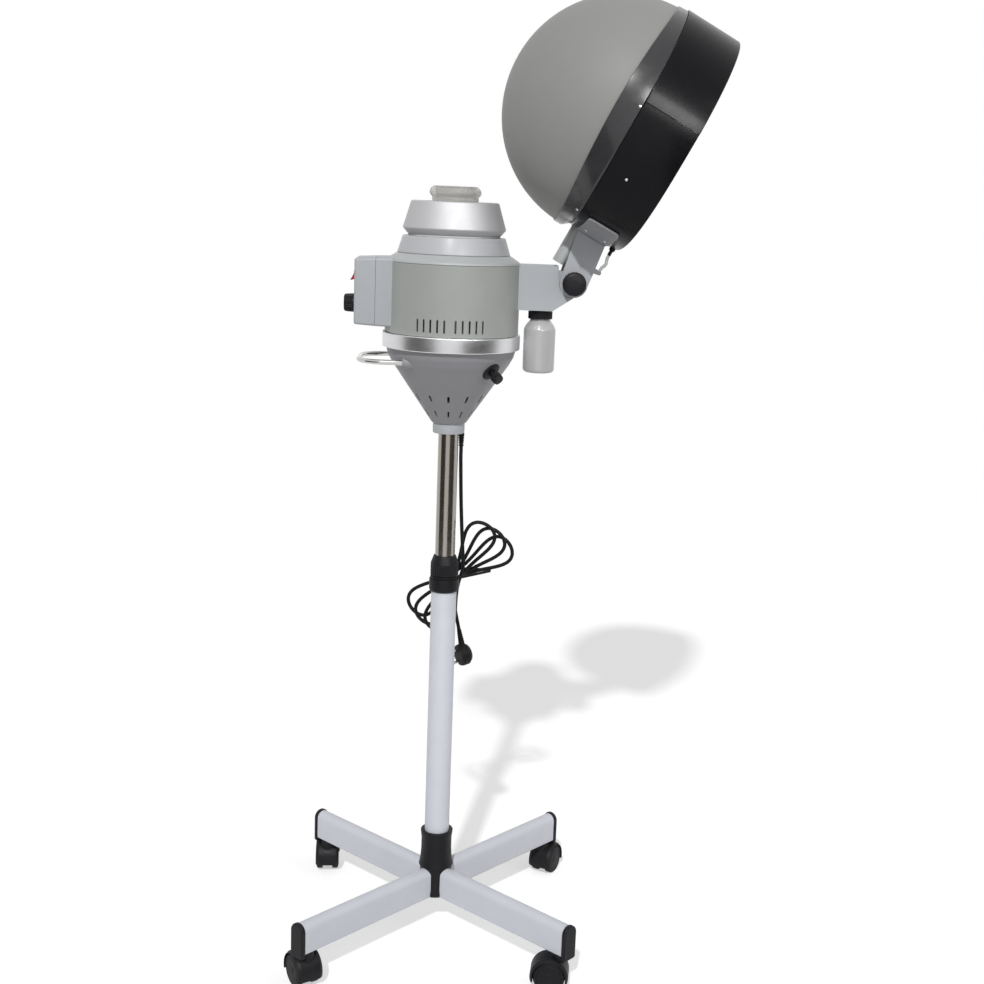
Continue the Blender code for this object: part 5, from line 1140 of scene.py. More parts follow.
@dataclass
class Column(Assembly):
    """The white column, its lock sleeve and ring, the chrome mast and the lead's gland."""

    column: float = 0.0205
    column_wall: float = 0.0018
    bottom: float = 0.0703
    top: float = 0.604
    mast: float = MAST
    mast_wall: float = 0.0015
    mast_ends: Pair = (0.304, 0.900)
    sleeve: float = 0.0242
    sleeve_bottom: float = 0.591
    groove: Triple = GROOVE
    ring: float = 0.0226
    ring_top: float = 0.0178
    ring_grip: float = 0.020
    ring_height: float = 0.0335
    gland: float = 0.0046
    gland_at: Pair = GLAND_AT
    gland_ends: Pair = (GLAND_FOOT, 0.8497)

    def build(self) -> None:
        """Makes the column, the sleeve, the ring, the mast and the gland."""
        pipe = oblong(self.column - self.column_wall, self.bottom, self.column, self.top)
        column = lathe("column_pipe", rounded(pipe, 0.0004, 3, True), self.stand, 96)
        self.add(column, "base", WHITE_PAINT, "column_tube")
        slip = self.mast + RUNNING
        radius, low, high = self.groove
        sleeve = [
            (self.column + FIT, self.sleeve_bottom), (self.sleeve - 0.0016, self.sleeve_bottom),
            (self.sleeve, self.sleeve_bottom + 0.003), (self.sleeve, low), (radius, low), (radius, high),
            (slip + 0.002, high), (slip + 0.002, high + 0.022), (slip, high + 0.022), (slip, self.top + FIT),
            (self.column + FIT, self.top + FIT),
        ]
        piece = lathe("lock_sleeve_moulding", rounded(sleeve, 0.0008, 4, True), self.stand, 96)
        self.add(piece, "base", BLACK_PLASTIC, "lock_sleeve")
        foot = high + FIT
        bore = slip + 0.002 + RUNNING
        ring = [
            (bore, foot), (self.ring - 0.0010, foot), (self.ring, foot + 0.0012), (self.ring, foot + 0.004),
            (self.ring, foot + 0.006), (self.ring, foot + self.ring_grip - 0.003),
            (self.ring, foot + self.ring_grip), (self.ring_top + 0.0006, foot + self.ring_height - 0.002),
            (self.ring_top - 0.0006, foot + self.ring_height), (slip, foot + self.ring_height),
            (slip, foot + 0.0225), (bore, foot + 0.0225),
        ]
        grip = Flutes(24, 0.0009, foot + 0.003, foot + self.ring_grip - 0.002)
        piece = lathe("lock_ring_grip", rounded(ring, 0.0008, 4, True), self.stand, 192, flutes=grip)
        self.add(piece, "lock_ring", BLACK_PLASTIC, "lock_ring")
        low, high = self.mast_ends
        pipe = oblong(self.mast - self.mast_wall, low, self.mast, high)
        mast = lathe("mast_pipe", rounded(pipe, 0.0004, 3, True), self.stand, 96)
        self.add(mast, "mast", CHROME, "mast_tube")
        low, high = self.gland_ends
        line: list[Pair] = [(0.0, low), (0.0036, low)]
        for i in range(4):
            crest = 0.0037 + (self.gland - 0.0037) * (i + 0.5) / 4
            foot = low + 0.0012 + i * 0.0037
            dip = crest - 0.0007
            line += [(crest, foot), (crest, foot + 0.0020), (dip, foot + 0.0024), (dip, foot + 0.0034)]
        line += [(self.gland, low + 0.0162), (self.gland, high), (0.0, high)]
        place = self.stand @ Matrix.Translation((*self.gland_at, 0.0))
        gland = lathe("lead_gland", line, place, 32)
        self.add(gland, "mast", BLACK_RUBBER, "cord_gland")


@dataclass
class SteamHead(Assembly):
    """The head's shells: the collar on the mast, the cone, the bright band, the jacket and the neck."""

    mast: float = MAST
    collar: Triple = (0.025, 0.850, 0.8682)  # radius, foot and top
    sleeve: Triple = (0.0055, 0.9003, 0.9577)  # wall, end of the mast's bore, and top
    cone: tuple[Pair, ...] = ((0.0255, 0.8685), (0.090, 0.963), (0.096, 0.9741), (0.099, 0.9852))
    slot_rows: tuple[Pair, ...] = ((0.8790, 0.8905), (0.9040, 0.9160))
    slot_width: float = 0.0034
    slot_count: int = 12
    slot_start: float = -92.0
    wall: float = 0.0025
    boss: Triple = (0.0085, 0.062, 0.965)  # radius, distance to the side, and height
    boss_ends: Pair = (0.050, 0.074)  # distances from the mast
    band: Triple = (0.1075, 0.9855, 1.0085)  # radius, foot and top
    jacket: Triple = (JACKET, 1.0088, 1.116)  # radius, foot and top
    vents: Triple = (4.65, 5.9, -1.8)  # first one, pitch and shift in degrees
    vent_count: int = 5
    vent_size: Triple = (0.003, 0.020, 0.0065)  # width, length, and sill above the jacket's foot
    shoulder: Pair = (1.1163, 1.1298)
    neck: tuple[float, ...] = (0.087, 0.0784, 1.1301, 1.1561)  # lower and upper radius, foot and top
    neck_hole: float = 0.0643

    def build(self) -> None:
        """Makes each shell from the mast up."""
        self.build_collar()
        self.build_cone()
        self.build_band_and_jacket()
        self.build_neck()

    def build_collar(self) -> None:
        """The pale collar that sits on the mast, with the sleeve inside the cone."""
        radius, low, high = self.collar
        wall, roof, end = self.sleeve
        bore = self.mast + RUNNING
        line = [
            (bore, low), (radius, low), (radius + 0.0003, low + 0.009), (radius, high), (bore + wall, high),
            (bore + wall, end), (0.0, end), (0.0, roof), (bore, roof),
        ]
        collar = lathe("mast_collar", rounded(line, 0.0009, 4), self.stand, 96)
        self.add(collar, "head", LIGHT_GREY, "head_socket")

    def build_cone(self) -> None:
        """The grey cone with its two rows of slots and the two bosses of the handle."""
        line = rounded(self.cone, 0.012, 8)
        slots = [self.slot_start + 360.0 * i / self.slot_count for i in range(self.slot_count)]
        shell = pierced_shell(
            "cone_shell", [tuple(p) for p in line], slots, self.slot_rows, self.slot_width, self.wall, self.stand
        )
        self.add(shell, "head", DARK_GREY, "head_cone")
        radius, spread, height = self.boss
        for name, side in (("front", -1.0), ("back", 1.0)):
            place = self.stand @ facing("Y", -90.0, (0.0, side * spread, height))
            inner, outer = self.boss_ends
            line = [(0.0, inner), (radius + 0.0022, inner), (radius, outer), (0.0, outer)]
            boss = lathe(f"handle_boss_{name}", rounded(line, 0.0014), place, 48)
            self.add(boss, "head", DARK_GREY)

    def build_band_and_jacket(self) -> None:
        """The turned aluminium band and the painted jacket with its vents."""
        radius, low, high = self.band
        line = oblong(radius - 0.011, low, radius, high)
        band = lathe("bright_band", rounded(line, 0.0016, 5, True), self.stand, 160)
        self.add(band, "head", ALUMINIUM, "head_band")
        radius, low, high = self.jacket
        start, pitch, shift = self.vents
        width, length, sill = self.vent_size
        slots = []
        for face in (-90.0, 90.0):
            for side in (-1.0, 1.0):
                slots += [face + shift + side * (start + i * pitch) for i in range(self.vent_count)]
        edge = 0.0006
        line = [(radius - edge, low), (radius, low + edge), (radius, high - edge), (radius - edge, high)]
        rows = [(low + sill, low + sill + length)]
        jacket = pierced_shell("jacket_shell", line, slots, rows, width, self.wall, self.stand)
        self.add(jacket, "head", GREY_PAINT, "jacket")

    def build_neck(self) -> None:
        """The sloping shoulder and the silver ring on it."""
        radius = self.jacket[0]
        low, high = self.shoulder
        outer, top_radius, foot, top = self.neck
        thin = 2 * self.wall
        line = [
            (radius - self.wall, low), (radius, low), (radius - 0.0016, low + 0.0036),
            (radius - 0.0052, low + 0.0062), (outer + 0.0004, high), (outer - thin, high),
            (outer - thin, high - self.wall), (radius - 0.008, low + 0.002),
        ]
        shoulder = lathe("head_shoulder", rounded(line, 0.0022, 5, True), self.stand, 160)
        self.add(shoulder, "head", SHOULDER_GREY, "shoulder")
        line = [
            (outer - thin, foot), (outer, foot), (outer, foot + 0.0015), (top_radius + 0.0012, top - 0.0012),
            (top_radius, top), (self.neck_hole, top), (self.neck_hole, top - thin),
            (top_radius - self.wall, top - thin),
        ]
        neck = lathe("silver_neck", rounded(line, 0.0009, 4, True), self.stand, 160)
        self.add(neck, "head", SILVER_GREY, "neck_ring")


@dataclass
class Lid(Assembly):
    """The turned aluminium lid and the clear filler cap in its middle."""

    foot: float = 0.0715
    radius: float = 0.0795
    top: float = 0.0666
    ends: Pair = (1.1587, 1.2092)
    rise: float = 0.009
    wall: float = 0.003
    neck: float = 0.036
    bead: float = 0.040
    crown: float = 0.034
    cap_height: float = 0.0225
    cap_wall: float = 0.0025
    spigot: float = 0.008

    def build(self) -> None:
        """Makes the lid and the cap."""
        low, high = self.ends
        hole = self.neck - self.cap_wall + FIT
        line = [
            (self.foot - 2 * self.wall, low), (self.foot, low), (self.radius - 0.0006, low + self.rise - 0.0008),
            (self.radius, low + self.rise + 0.0008), (self.top + 0.0012, high - 0.0014),
            (self.top - 0.0010, high), (hole, high), (hole, high - self.wall),
            (self.top - self.wall, high - self.wall), (self.radius - self.wall, low + self.rise + 0.001),
        ]
        lid = lathe("lid_shell", rounded(line, 0.0012, 5, True), self.stand, 160)
        self.add(lid, "lid", LID_ALUMINIUM, "lid")
        foot = high + FIT
        inner = hole - FIT
        top = foot + self.cap_height
        bead = foot + 0.0125
        line = [
            (0.0, top - 0.0012), (self.crown * 0.55, top - 0.0008), (self.crown, top),
            (self.bead - 0.0012, top - 0.0042), (self.bead, bead + 0.0012), (self.bead, bead - 0.001),
            (self.bead - 0.002, bead - 0.004), (self.neck, bead - 0.006), (self.neck, foot), (inner, foot),
            (inner, foot - self.spigot), (inner - self.cap_wall, foot - self.spigot),
            (inner - self.cap_wall, top - self.cap_wall - 0.001), (0.0, top - self.cap_wall - 0.001),
        ]
        cap = lathe("clear_filler_cap", rounded(line, 0.0018, 5), self.stand, 128)
        self.add(cap, "filler_cap", CLEAR_PLASTIC, "filler_cap")


@dataclass
class ControlBox(Assembly):
    """The box on the head's side with its switch and timer."""

    half: float = 0.0475
    ends: Pair = (1.017, 1.122)
    jacket: float = JACKET
    seam: float = 0.118
    panel: float = 0.150
    draft: float = 0.0025
    corner: float = 0.004
    switch_z: float = 1.0945
    rocker: Triple = (0.013, 0.021, 0.0085)  # width, height and bulge
    timer_z: float = 1.049
    knob: Pair = (0.0143, 0.017)  # radius and length
    shaft: float = 0.003
    pointer: Triple = (0.003, 0.003, 0.0006)  # gaps at the middle and the rim, and half width
    ticks: int = 13
    tick_turn: Pair = (-150.0, 25.0)  # first one and step in degrees
    tick_size: Triple = (0.0034, 0.0020, 0.0004)  # long, short and half width
    tick_gap: float = 0.0022
    edge: float = 0.0035
    lip: float = 0.0004

    def section(self, depth: float, inset: float) -> list[Vector]:
        """The box's rounded outline at a distance from the mast, moved in by an inset."""
        share = max(0.0, (depth - self.jacket) / (self.panel - self.jacket))
        draw = share * self.draft + inset
        low, high = self.ends[0] + draw, self.ends[1] - draw
        wide = self.half - draw
        line = rounded(oblong(-wide, low, wide, high), max(0.001, self.corner - inset), 6, True)
        return [Vector((-depth, y, z)) for y, z in line]

    def build(self) -> None:
        """Makes the mount, the cover, the switch, the timer's knob and its dial."""
        root = math.sqrt(self.jacket**2 - self.half**2) - 0.0008
        lip, edge = self.lip, self.edge
        mount = [self.section(root, 0.0), self.section(self.seam - FIT - lip, 0.0), self.section(self.seam - FIT, lip)]
        self.add(loft("box_mount", mount, self.stand, False), "head", LIGHT_GREY, "box_base")
        cover = [self.section(self.seam, lip), self.section(self.seam + lip, 0.0)]
        for i in range(7):
            turn = math.radians(90.0 * i / 6)
            cover.append(self.section(self.panel - edge + edge * math.sin(turn), edge * (1 - math.cos(turn))))
        shell = loft("box_panel_cover", cover, self.stand, False)
        wide, tall, _ = self.rocker
        window = self.frame_box((wide / 2 + RUNNING, tall / 2 + RUNNING), (self.panel - 0.012, self.panel + 0.01))
        self.add(put_together(shell, window, Join.CUT), "head", LIGHT_GREY, "box_cover")
        self.build_switch()
        self.build_timer()

    def frame_box(self, half: Pair, depth: Pair) -> Piece:
        """A block around the switch's middle, between two distances from the mast."""
        wide, tall = half
        outline = oblong(-wide, self.switch_z - tall, wide, self.switch_z + tall)
        return slab("block", outline, (-depth[1], -depth[0]), Plane.YZ, self.stand)

    def build_switch(self) -> None:
        """The red rocker in its black bezel."""
        wide, tall, bulge = self.rocker
        bezel = self.frame_box((wide / 2 + 0.0026, tall / 2 + 0.0026), (self.panel - 0.001, self.panel + 0.0013))
        hole = self.frame_box((wide / 2 + RUNNING, tall / 2 + RUNNING), (self.panel - 0.01, self.panel + 0.01))
        bezel.name = "switch_bezel"
        self.add(softened(put_together(bezel, hole, Join.CUT), 0.0005, 3), "head", BLACK_PLASTIC)
        tip = tall / 2
        line = [
            (0.005, tip - 0.002), (-0.0010, tip), (-0.0024, tip * 0.5), (-0.0030, 0.0), (-0.0055, -tip * 0.5),
            (-bulge, -tip + 0.0006), (-bulge + 0.001, -tip), (0.005, -tip + 0.003), (0.0078, 0.0),
        ]
        place = self.stand @ Matrix.Translation((-self.panel, 0.0, self.switch_z))
        rocker = slab("rocker_key", rounded(line, 0.0012, 4, True), (-wide / 2, wide / 2), Plane.XZ, place)
        self.add(softened(rocker, 0.0005, 3), "rocker", RED_PLASTIC, "rocker")

    def build_timer(self) -> None:
        """The ribbed timer knob with its pointer, and the ticks of its dial."""
        radius, length = self.knob
        face = self.panel + RUNNING
        line = [
            (0.0, face + length), (radius - 0.0026, face + length), (radius - 0.0008, face + length - 0.0020),
            (radius - 0.0004, face + length * 0.6), (radius, face + 0.0042), (radius, face + 0.003),
            (radius, face), (self.shaft, face), (self.shaft, self.panel - 0.0125), (0.0, self.panel - 0.0125),
        ]
        place = self.stand @ facing("Y", -90.0, (0.0, 0.0, self.timer_z))
        grip = Flutes(28, 0.0009, face + 0.0035, face + length - 0.0015)
        knob = lathe("timer_grip", rounded(line, 0.0008, 4), place, 168, flutes=grip)
        self.add(knob, "timer_knob", BLACK_PLASTIC, "timer_knob")
        tip = face + length
        near, short, thin = self.pointer
        line = rounded(oblong(near, -thin, radius - short, thin), 0.0003, 2, True)
        mark = slab("timer_pointer", line, (tip - 0.0006, tip + 0.0002), Plane.XY, place)
        self.add(mark, "timer_knob", DIAL_WHITE)
        first, step = self.tick_turn
        long, short, thin = self.tick_size
        near = radius + self.tick_gap
        ticks = []
        for i in range(self.ticks):
            line = oblong(near, -thin, near + (short if i % 3 else long), thin)
            spot = place @ facing("Z", first + step * i)
            ticks.append(slab("tick", line, (self.panel - 0.0004, self.panel + 0.00012), Plane.XY, spot))
        self.add(gathered("timer_dial_ticks", ticks), "head", BLACK_PLASTIC)


@dataclass
class HandleAndDrain(Assembly):
    """The bent chrome grab handle, and the drain outlet with its cap."""

    rod: float = 0.004
    half: float = 0.062
    height: float = 0.965
    reach: float = 0.142
    corner: float = 0.040
    start: float = 0.066
    azimuth: float = -45.0
    drain_z: float = 0.957
    drain_radius: float = 0.085905
    slope: float = 34.3156
    flange: Pair = (0.0155, 0.005)  # radius and height
    stem: float = 0.0055
    cap: Pair = (0.0085, 0.018)  # radius and length

    def build(self) -> None:
        """Makes the handle, the drain's flange and its cap."""
        far = self.reach - self.corner
        bends = arc((-far, self.half - self.corner), self.corner, 90.0, 180.0, 24)
        bends += arc((-far, self.corner - self.half), self.corner, 180.0, 270.0, 24)
        path = [(-self.start, self.half), *bends, (-self.start, -self.half)]
        handle = tube("grab_rail", [(x, y, self.height) for x, y in path], self.rod, self.stand, 28)
        self.add(handle, "head", HANDLE_CHROME, "grab_handle")
        turn = math.radians(self.azimuth)
        spot = (self.drain_radius * math.cos(turn), self.drain_radius * math.sin(turn), self.drain_z)
        place = self.stand @ Matrix.Translation(spot) @ facing("Z", self.azimuth) @ facing("Y", 90.0 + self.slope)
        radius, top = self.flange
        line = [
            (0.0, -0.003), (radius, -0.003), (radius, top - 0.0022), (radius - 0.0035, top - 0.0004),
            (radius - 0.006, top), (self.stem + FIT, top), (self.stem + FIT, 0.0015), (0.0, 0.0015),
        ]
        flange = lathe("drain_outlet", rounded(line, 0.0009, 4), place, 64)
        self.add(flange, "head", BLACK_PLASTIC, "drain_flange")
        wide, length = self.cap
        end = top + RUNNING + length
        line = [
            (0.0, 0.0018), (self.stem, 0.0018), (self.stem, top + 0.006), (wide, top + 0.0072),
            (wide, top + 0.009), (wide, end - 0.003), (wide - 0.0010, end), (0.0, end),
        ]
        grip = Flutes(16, 0.0008, top + 0.0085, end - 0.002)
        cap = lathe("drain_plug_cap", rounded(line, 0.0009, 4), place, 96, flutes=grip)
        self.add(cap, "drain_cap", BLACK_PLASTIC, "drain_cap")


@dataclass
class ArmAndBottle(Assembly):
    """The arm with its tongue at the pivot, and the bottle that hangs below it in its cap."""

    half: float = ARM_HALF
    bottom: float = 1.0485
    top: float = 1.118
    root: float = 0.1010
    top_end: float = 0.162
    bottom_end: float = 0.155
    pivot: Pair = PIVOT
    knuckle: float = 0.0218
    tongue: float = 0.018
    bottle_x: float = 0.138
    cap: Pair = (0.019, 0.0135)  # radius and height
    neck: float = 0.0155
    body: float = 0.025
    height: float = 0.084
    shoulder: float = 0.014
    wall: float = 0.0015

    def build(self) -> None:
        """Makes the arm, the bottle's cap and the bottle."""
        room = self.knuckle + RUNNING
        px, pz = self.pivot
        reach = room * 0.85
        dx, dz = self.bottom_end - px, self.bottom - pz
        touch = math.degrees(math.atan2(dz, dx) + math.acos(reach / math.hypot(dx, dz)))
        line = [(self.root, self.top), (self.root, self.bottom), (self.bottom_end, self.bottom)]
        line += [tuple(arc(self.pivot, reach, touch, touch, 1)[0]), (px - room * 0.9, pz)]
        line += [(self.top_end, pz + room * 0.45), (self.top_end, self.top)]
        arm = slab("hood_arm", line, (-self.half, self.half), Plane.XZ, self.stand)
        hole = arc(self.pivot, room, 0.0, 360.0, 96)[:-1]
        arm = put_together(arm, slab("room", hole, (-0.05, 0.05), Plane.XZ, self.stand), Join.CUT)
        lug = self.knuckle - RUNNING
        neck = self.top_end - 0.010
        line = [(neck, pz + lug * 0.8), (neck, pz - lug), *arc(self.pivot, lug, 250.0, 480.0, 40)]
        tongue = slab("tongue", line, (-self.tongue, self.tongue), Plane.XZ, self.stand)
        arm = put_together(arm, tongue, Join.ADD)
        self.add(softened(arm, 0.0014, 4), "head", LIGHT_GREY, "arm")
        place = self.stand @ Matrix.Translation((self.bottle_x, 0.0, 0.0))
        wide, tall = self.cap
        high = self.bottom - FIT
        low = high - tall
        bore = self.neck + FIT
        line = [
            (0.0, high), (wide - 0.0014, high), (wide - 0.0004, high - 0.0014), (wide, high - 0.0026),
            (wide, high - 0.004), (wide, low + 0.002), (wide, low), (bore, low), (bore, high - 0.003),
            (0.0, high - 0.003),
        ]
        grip = Flutes(40, 0.0009, low + 0.0009, high - 0.003)
        cap = lathe("bottle_screw_cap", rounded(line, 0.0006, 4), place, 200, flutes=grip)
        self.add(cap, "head", BLACK_PLASTIC, "bottle_cap")
        shoulder = low - 0.002
        foot = low - self.height
        mouth = high - 0.003 - FIT
        outer = [
            (self.neck, mouth), (self.neck, shoulder), (self.body - 0.004, shoulder - self.shoulder * 0.45),
            (self.body, shoulder - self.shoulder), (self.body, foot + 0.004), (self.body - 0.003, foot),
            (self.body - 0.008, foot), (self.body - 0.010, foot + 0.0010), (0.0, foot + 0.0014),
        ]
        skin = rounded(outer, 0.006, 7)
        inside = [(r - self.wall, z) for r, z in outer[:6]]
        inside[-1] = (self.body - 0.004, foot + self.wall)
        hollow = rounded([*inside, (0.0, foot + self.wall + 0.0014)], 0.005, 7)
        bottle = lathe("catch_bottle", [*skin, *reversed(hollow)], place, 96)
        self.add(bottle, "bottle", MILKY_PLASTIC, "bottle")


@dataclass
class Hood(Assembly):
    """The tilting hood: dome, collar, back wall, visor, and the bracket with pipe and hose behind it."""

    pivot: Pair = PIVOT
    tilt: float = 62.0
    centre: Pair = (0.2511, 0.0639)  # the dome's, from the pivot
    dome: float = 0.181
    wall: float = 0.003
    skirt: float = 0.184
    back: float = 0.174
    squareness: float = 3.0
    depth: float = 0.095
    lip: float = 0.008
    collar_depth: float = 0.005
    collar_back: float = 0.008
    collar_rise: float = 0.010
    collar_side: float = 0.020
    collar_edge: float = 0.002
    visor_angle: float = 84.0
    visor_proud: float = 0.002
    saddle: Triple = (-0.0125, 0.040, 0.0035)  # foot, top and thickness
    saddle_angle: float = 38.3
    saddle_round: float = 1.8
    saddle_corner: float = 0.005
    bracket: Triple = (0.0218, -0.0125, 0.036)  # the knuckle's radius, foot and top
    bracket_end: float = 0.0730
    half: float = ARM_HALF
    slot_half: float = 0.0185
    slot_depth: float = 0.040
    pipe: Triple = (0.0112, 0.0345, 0.016)  # radius, height and start
    oval: float = 1.75
    nipple: tuple[float, ...] = (0.0032, -0.0165, -0.0255, 0.013)  # radius, side, height and length
    port: Pair = (0.027, 0.010)  # start and length
    hose: float = 0.0026
    screws: tuple[Pair, ...] = ((-87.0, -0.002), (-116.0, -0.038), (-142.0, -0.003))  # angles and heights
    plate_screws: Pair = (24.0, 0.010)  # angle from the middle, and margin

    def __post_init__(self) -> None:
        """Works out the hood's frame at rest."""
        self.place = self.stand @ facing("Y", -self.tilt, (self.pivot[0], 0.0, self.pivot[1]))

    def outline(self, angle: float) -> float:
        """Radius of the hood's skirt at an angle from its front: round in front, squarer behind."""
        c, s = math.cos(math.radians(angle)), math.sin(math.radians(angle))
        if c >= 0.0:
            return self.skirt
        power = self.squareness
        return ((abs(c) / self.back) ** power + (abs(s) / self.skirt) ** power) ** (-1 / power)

    def below(self, angle: float) -> float:
        """How far the collar reaches below the dome's rim at an angle."""
        return self.collar_depth + self.collar_back * max(0.0, -math.cos(math.radians(angle))) ** 3

    def spot(self, radius: float, angle: float, height: float) -> Vector:
        """A point about the dome's axis, with height zero at its rim."""
        turn = math.radians(angle)
        return Vector(
            (self.centre[0] + radius * math.cos(turn), radius * math.sin(turn), self.centre[1] + height)
        )

    def ring(
        self, name: str, section: Callable[[float], list[Vector]], first: float, last: float, steps: int
    ) -> Piece:
        """A band about the dome's axis.

        Args:
            name: The piece's name.
            section: Its section at an angle, as radius and height.
            first: First angle in degrees.
            last: Last angle in degrees.
            steps: Number of steps between them.

        Returns:
            The new object.
        """
        around = last - first >= 360.0
        stations = [first + (last - first) * i / steps for i in range(steps + (0 if around else 1))]
        sections = [[self.spot(r, angle, z) for r, z in section(angle)] for angle in stations]
        return loft(name, sections, self.place, around)

    def collar_section(self, angle: float) -> list[Vector]:
        """Section of the collar that grips the dome's rim, with a rounded roll at its top."""
        rise = self.collar_rise + self.collar_side * math.sin(math.radians(angle)) ** 2
        seat = math.sqrt(self.dome**2 - rise**2) + FIT
        outer = self.outline(angle)
        depth = self.below(angle)
        ledge = self.dome - self.wall
        line = [
            (seat, rise), (seat + self.collar_edge, rise),
            (max(outer, self.dome + self.collar_edge), -self.collar_depth * 0.5), (outer, -depth),
            (outer - self.wall, -depth), (ledge, -depth * 0.45), (ledge, -FIT), (self.dome + FIT, -FIT),
        ]
        return rounded(line, 0.0009, 3, True)

    def wall_section(self, angle: float, proud: float) -> list[Vector]:
        """Section of the wall below the collar, with its lip turned in at the lower edge."""
        outer = self.outline(angle) + proud
        top = -self.below(angle) - FIT
        inner = outer - self.wall
        line = [
            (outer, top), (outer, -self.depth), (inner - self.lip, -self.depth),
            (inner - self.lip, -self.depth + self.wall), (inner, -self.depth + self.wall), (inner, top),
        ]
        return rounded(line, 0.0013, 4, True)

    def saddle_section(self, angle: float) -> list[Vector]:
        """Section of the plate that spreads the bracket's load."""
        inner = self.outline(angle) + FIT
        low, high = self.saddle[0] - self.centre[1], self.saddle[1] - self.centre[1]
        outer = inner + self.saddle[2]
        past = max(0.0, abs(angle - 180.0) - self.saddle_angle + self.saddle_round)
        drop = self.saddle_corner * (1.0 - math.sqrt(max(0.0, 1.0 - (past / self.saddle_round) ** 2)))
        high, low = high - drop, low + drop
        return [Vector(p) for p in ((inner, high), (outer, high), (outer, low), (inner, low))]

    def build(self) -> None:
        """Makes the shells first, then what carries them."""
        self.build_shells()
        self.build_saddle()
        self.build_bracket()
        self.build_drain()
        self.build_screws()

    def build_shells(self) -> None:
        """The dome, the collar, the back wall and the visor."""
        place = self.place @ Matrix.Translation((self.centre[0], 0.0, self.centre[1]))
        line = arc((0.0, 0.0), self.dome, 0.0, 90.0, 48) + arc((0.0, 0.0), self.dome - self.wall, 90.0, 0.0, 48)
        dome = lathe("dome_shell", line, place, 160)
        self.add(dome, "hood", DOME_GREY, "dome")
        self.add(self.ring("dome_collar", self.collar_section, 0.0, 360.0, 180), "hood", COLLAR_SHEEN_GLOSS, "hood_collar")
        slit = math.degrees(FIT / self.skirt)
        first, last = self.visor_angle + slit, 360.0 - self.visor_angle - slit
        wall = self.ring("back_shell", lambda a: self.wall_section(a, 0.0), first, last, 140)
        self.add(wall, "hood", BLACK_GLOSS, "hood_back_wall")
        visor = self.ring(
            "front_visor", lambda a: self.wall_section(a, self.visor_proud), -self.visor_angle, self.visor_angle, 110
        )
        self.add(visor, "hood", BLACK_GLOSS, "visor")

    def build_saddle(self) -> None:
        """The plate on the back wall with a groove for the pipe."""
        first, last = 180.0 - self.saddle_angle, 180.0 + self.saddle_angle
        plate = self.ring("saddle_plate", self.saddle_section, first, last, 170)
        plate = put_together(plate, self.pipe_room(), Join.CUT)
        self.add(softened(plate, 0.0014, 3), "hood", DARK_GREY, "hood_saddle")

    def pipe_place(self) -> Matrix:
        """The steam pipe's frame, drawn out across the bracket so that the pipe is oval."""
        return self.place @ facing("Y", 90.0, (0.0, 0.0, self.pipe[1])) @ Matrix.Diagonal((1.0, self.oval, 1.0, 1.0))

    def pipe_room(self) -> Piece:
        """The room that the steam pipe takes, as a tool."""
        radius, _, start = self.pipe
        return lathe("room", oblong(0.0, start / 2, radius + FIT, 0.1), self.pipe_place(), 64)

    def build_bracket(self) -> None:
        """The forked bracket and the steam pipe that lies in its groove."""
        knuckle, low, high = self.bracket
        end = self.bracket_end

        def touch(spot: Pair, side: float) -> float:
            """Angle at which a line from a spot touches the knuckle."""
            far = math.hypot(*spot)
            return math.degrees(math.atan2(spot[1], spot[0]) + side * math.acos(knuckle / far))

        first, last = touch((end, high), 1.0), touch((end, low), -1.0) + 360.0
        line = [*arc((0.0, 0.0), knuckle, first, last, 48), Vector((end, low)), Vector((end, high))]
        bracket = slab("hood_fork", line, (-self.half, self.half), Plane.XZ, self.place)
        reach = 2 * knuckle
        gap = oblong(-reach, -reach, self.slot_depth, reach)
        slot = slab("gap", gap, (-self.slot_half, self.slot_half), Plane.XZ, self.place)
        bracket = put_together(bracket, slot, Join.CUT)
        bracket = put_together(bracket, self.pipe_room(), Join.CUT)
        start, size = self.port
        _, side, offset, _ = self.nipple
        deep = offset - self.hose - 0.0012
        corners = [(start, low + 0.002), (start + 0.004, deep), (start + size, deep), (start + size, low + 0.002)]
        box = rounded(corners, 0.003, 5, True)
        port = slab("port", box, (side - 0.0045, side + 0.0045), Plane.XZ, self.place)
        bracket = put_together(bracket, port, Join.ADD)
        self.add(softened(bracket, 0.0014, 4), "hood", LIGHT_GREY, "hood_bracket")
        radius, _, begin = self.pipe
        far = self.centre[0] - self.back + self.wall + 0.014
        line = oblong(radius - 0.0015, begin, radius, far)
        pipe = lathe("steam_pipe", rounded(line, 0.0006, 4, True), self.pipe_place(), 64)
        self.add(pipe, "hood", SHOULDER_GREY, "hood_steam_pipe")

    def build_drain(self) -> None:
        """The barbed nipple on the back wall and the clear hose from it to the bracket's port."""
        radius, side, offset, length = self.nipple
        foot = self.centre[0] - self.back
        tip = foot - length
        line = [
            (0.0, tip), (radius * 0.75, tip), (radius, tip + 0.0022), (radius * 0.8, tip + 0.0024),
            (radius, tip + 0.0050), (radius * 0.8, tip + 0.0052), (radius, tip + 0.0085),
            (radius * 1.5, tip + 0.0088), (radius * 1.5, foot + 0.001), (0.0, foot + 0.001),
        ]
        place = self.place @ facing("Y", 90.0, (0.0, side, offset))
        self.add(lathe("drain_nipple", line, place, 32), "hood", BLACK_PLASTIC)
        end = self.port[0] + self.port[1] + FIT
        start = tip - FIT
        middle = (start + end) / 2
        route = [
            (start, side, offset), (start - self.hose, side, offset), (middle, side, offset - 0.003),
            (end + self.hose, side, offset), (end, side, offset),
        ]
        hose = tube("drain_hose_clear", smooth_route(route, 0.0015), self.hose, self.place, 24)
        self.add(hose, "hood", CLEAR_HOSE, "drain_hose")

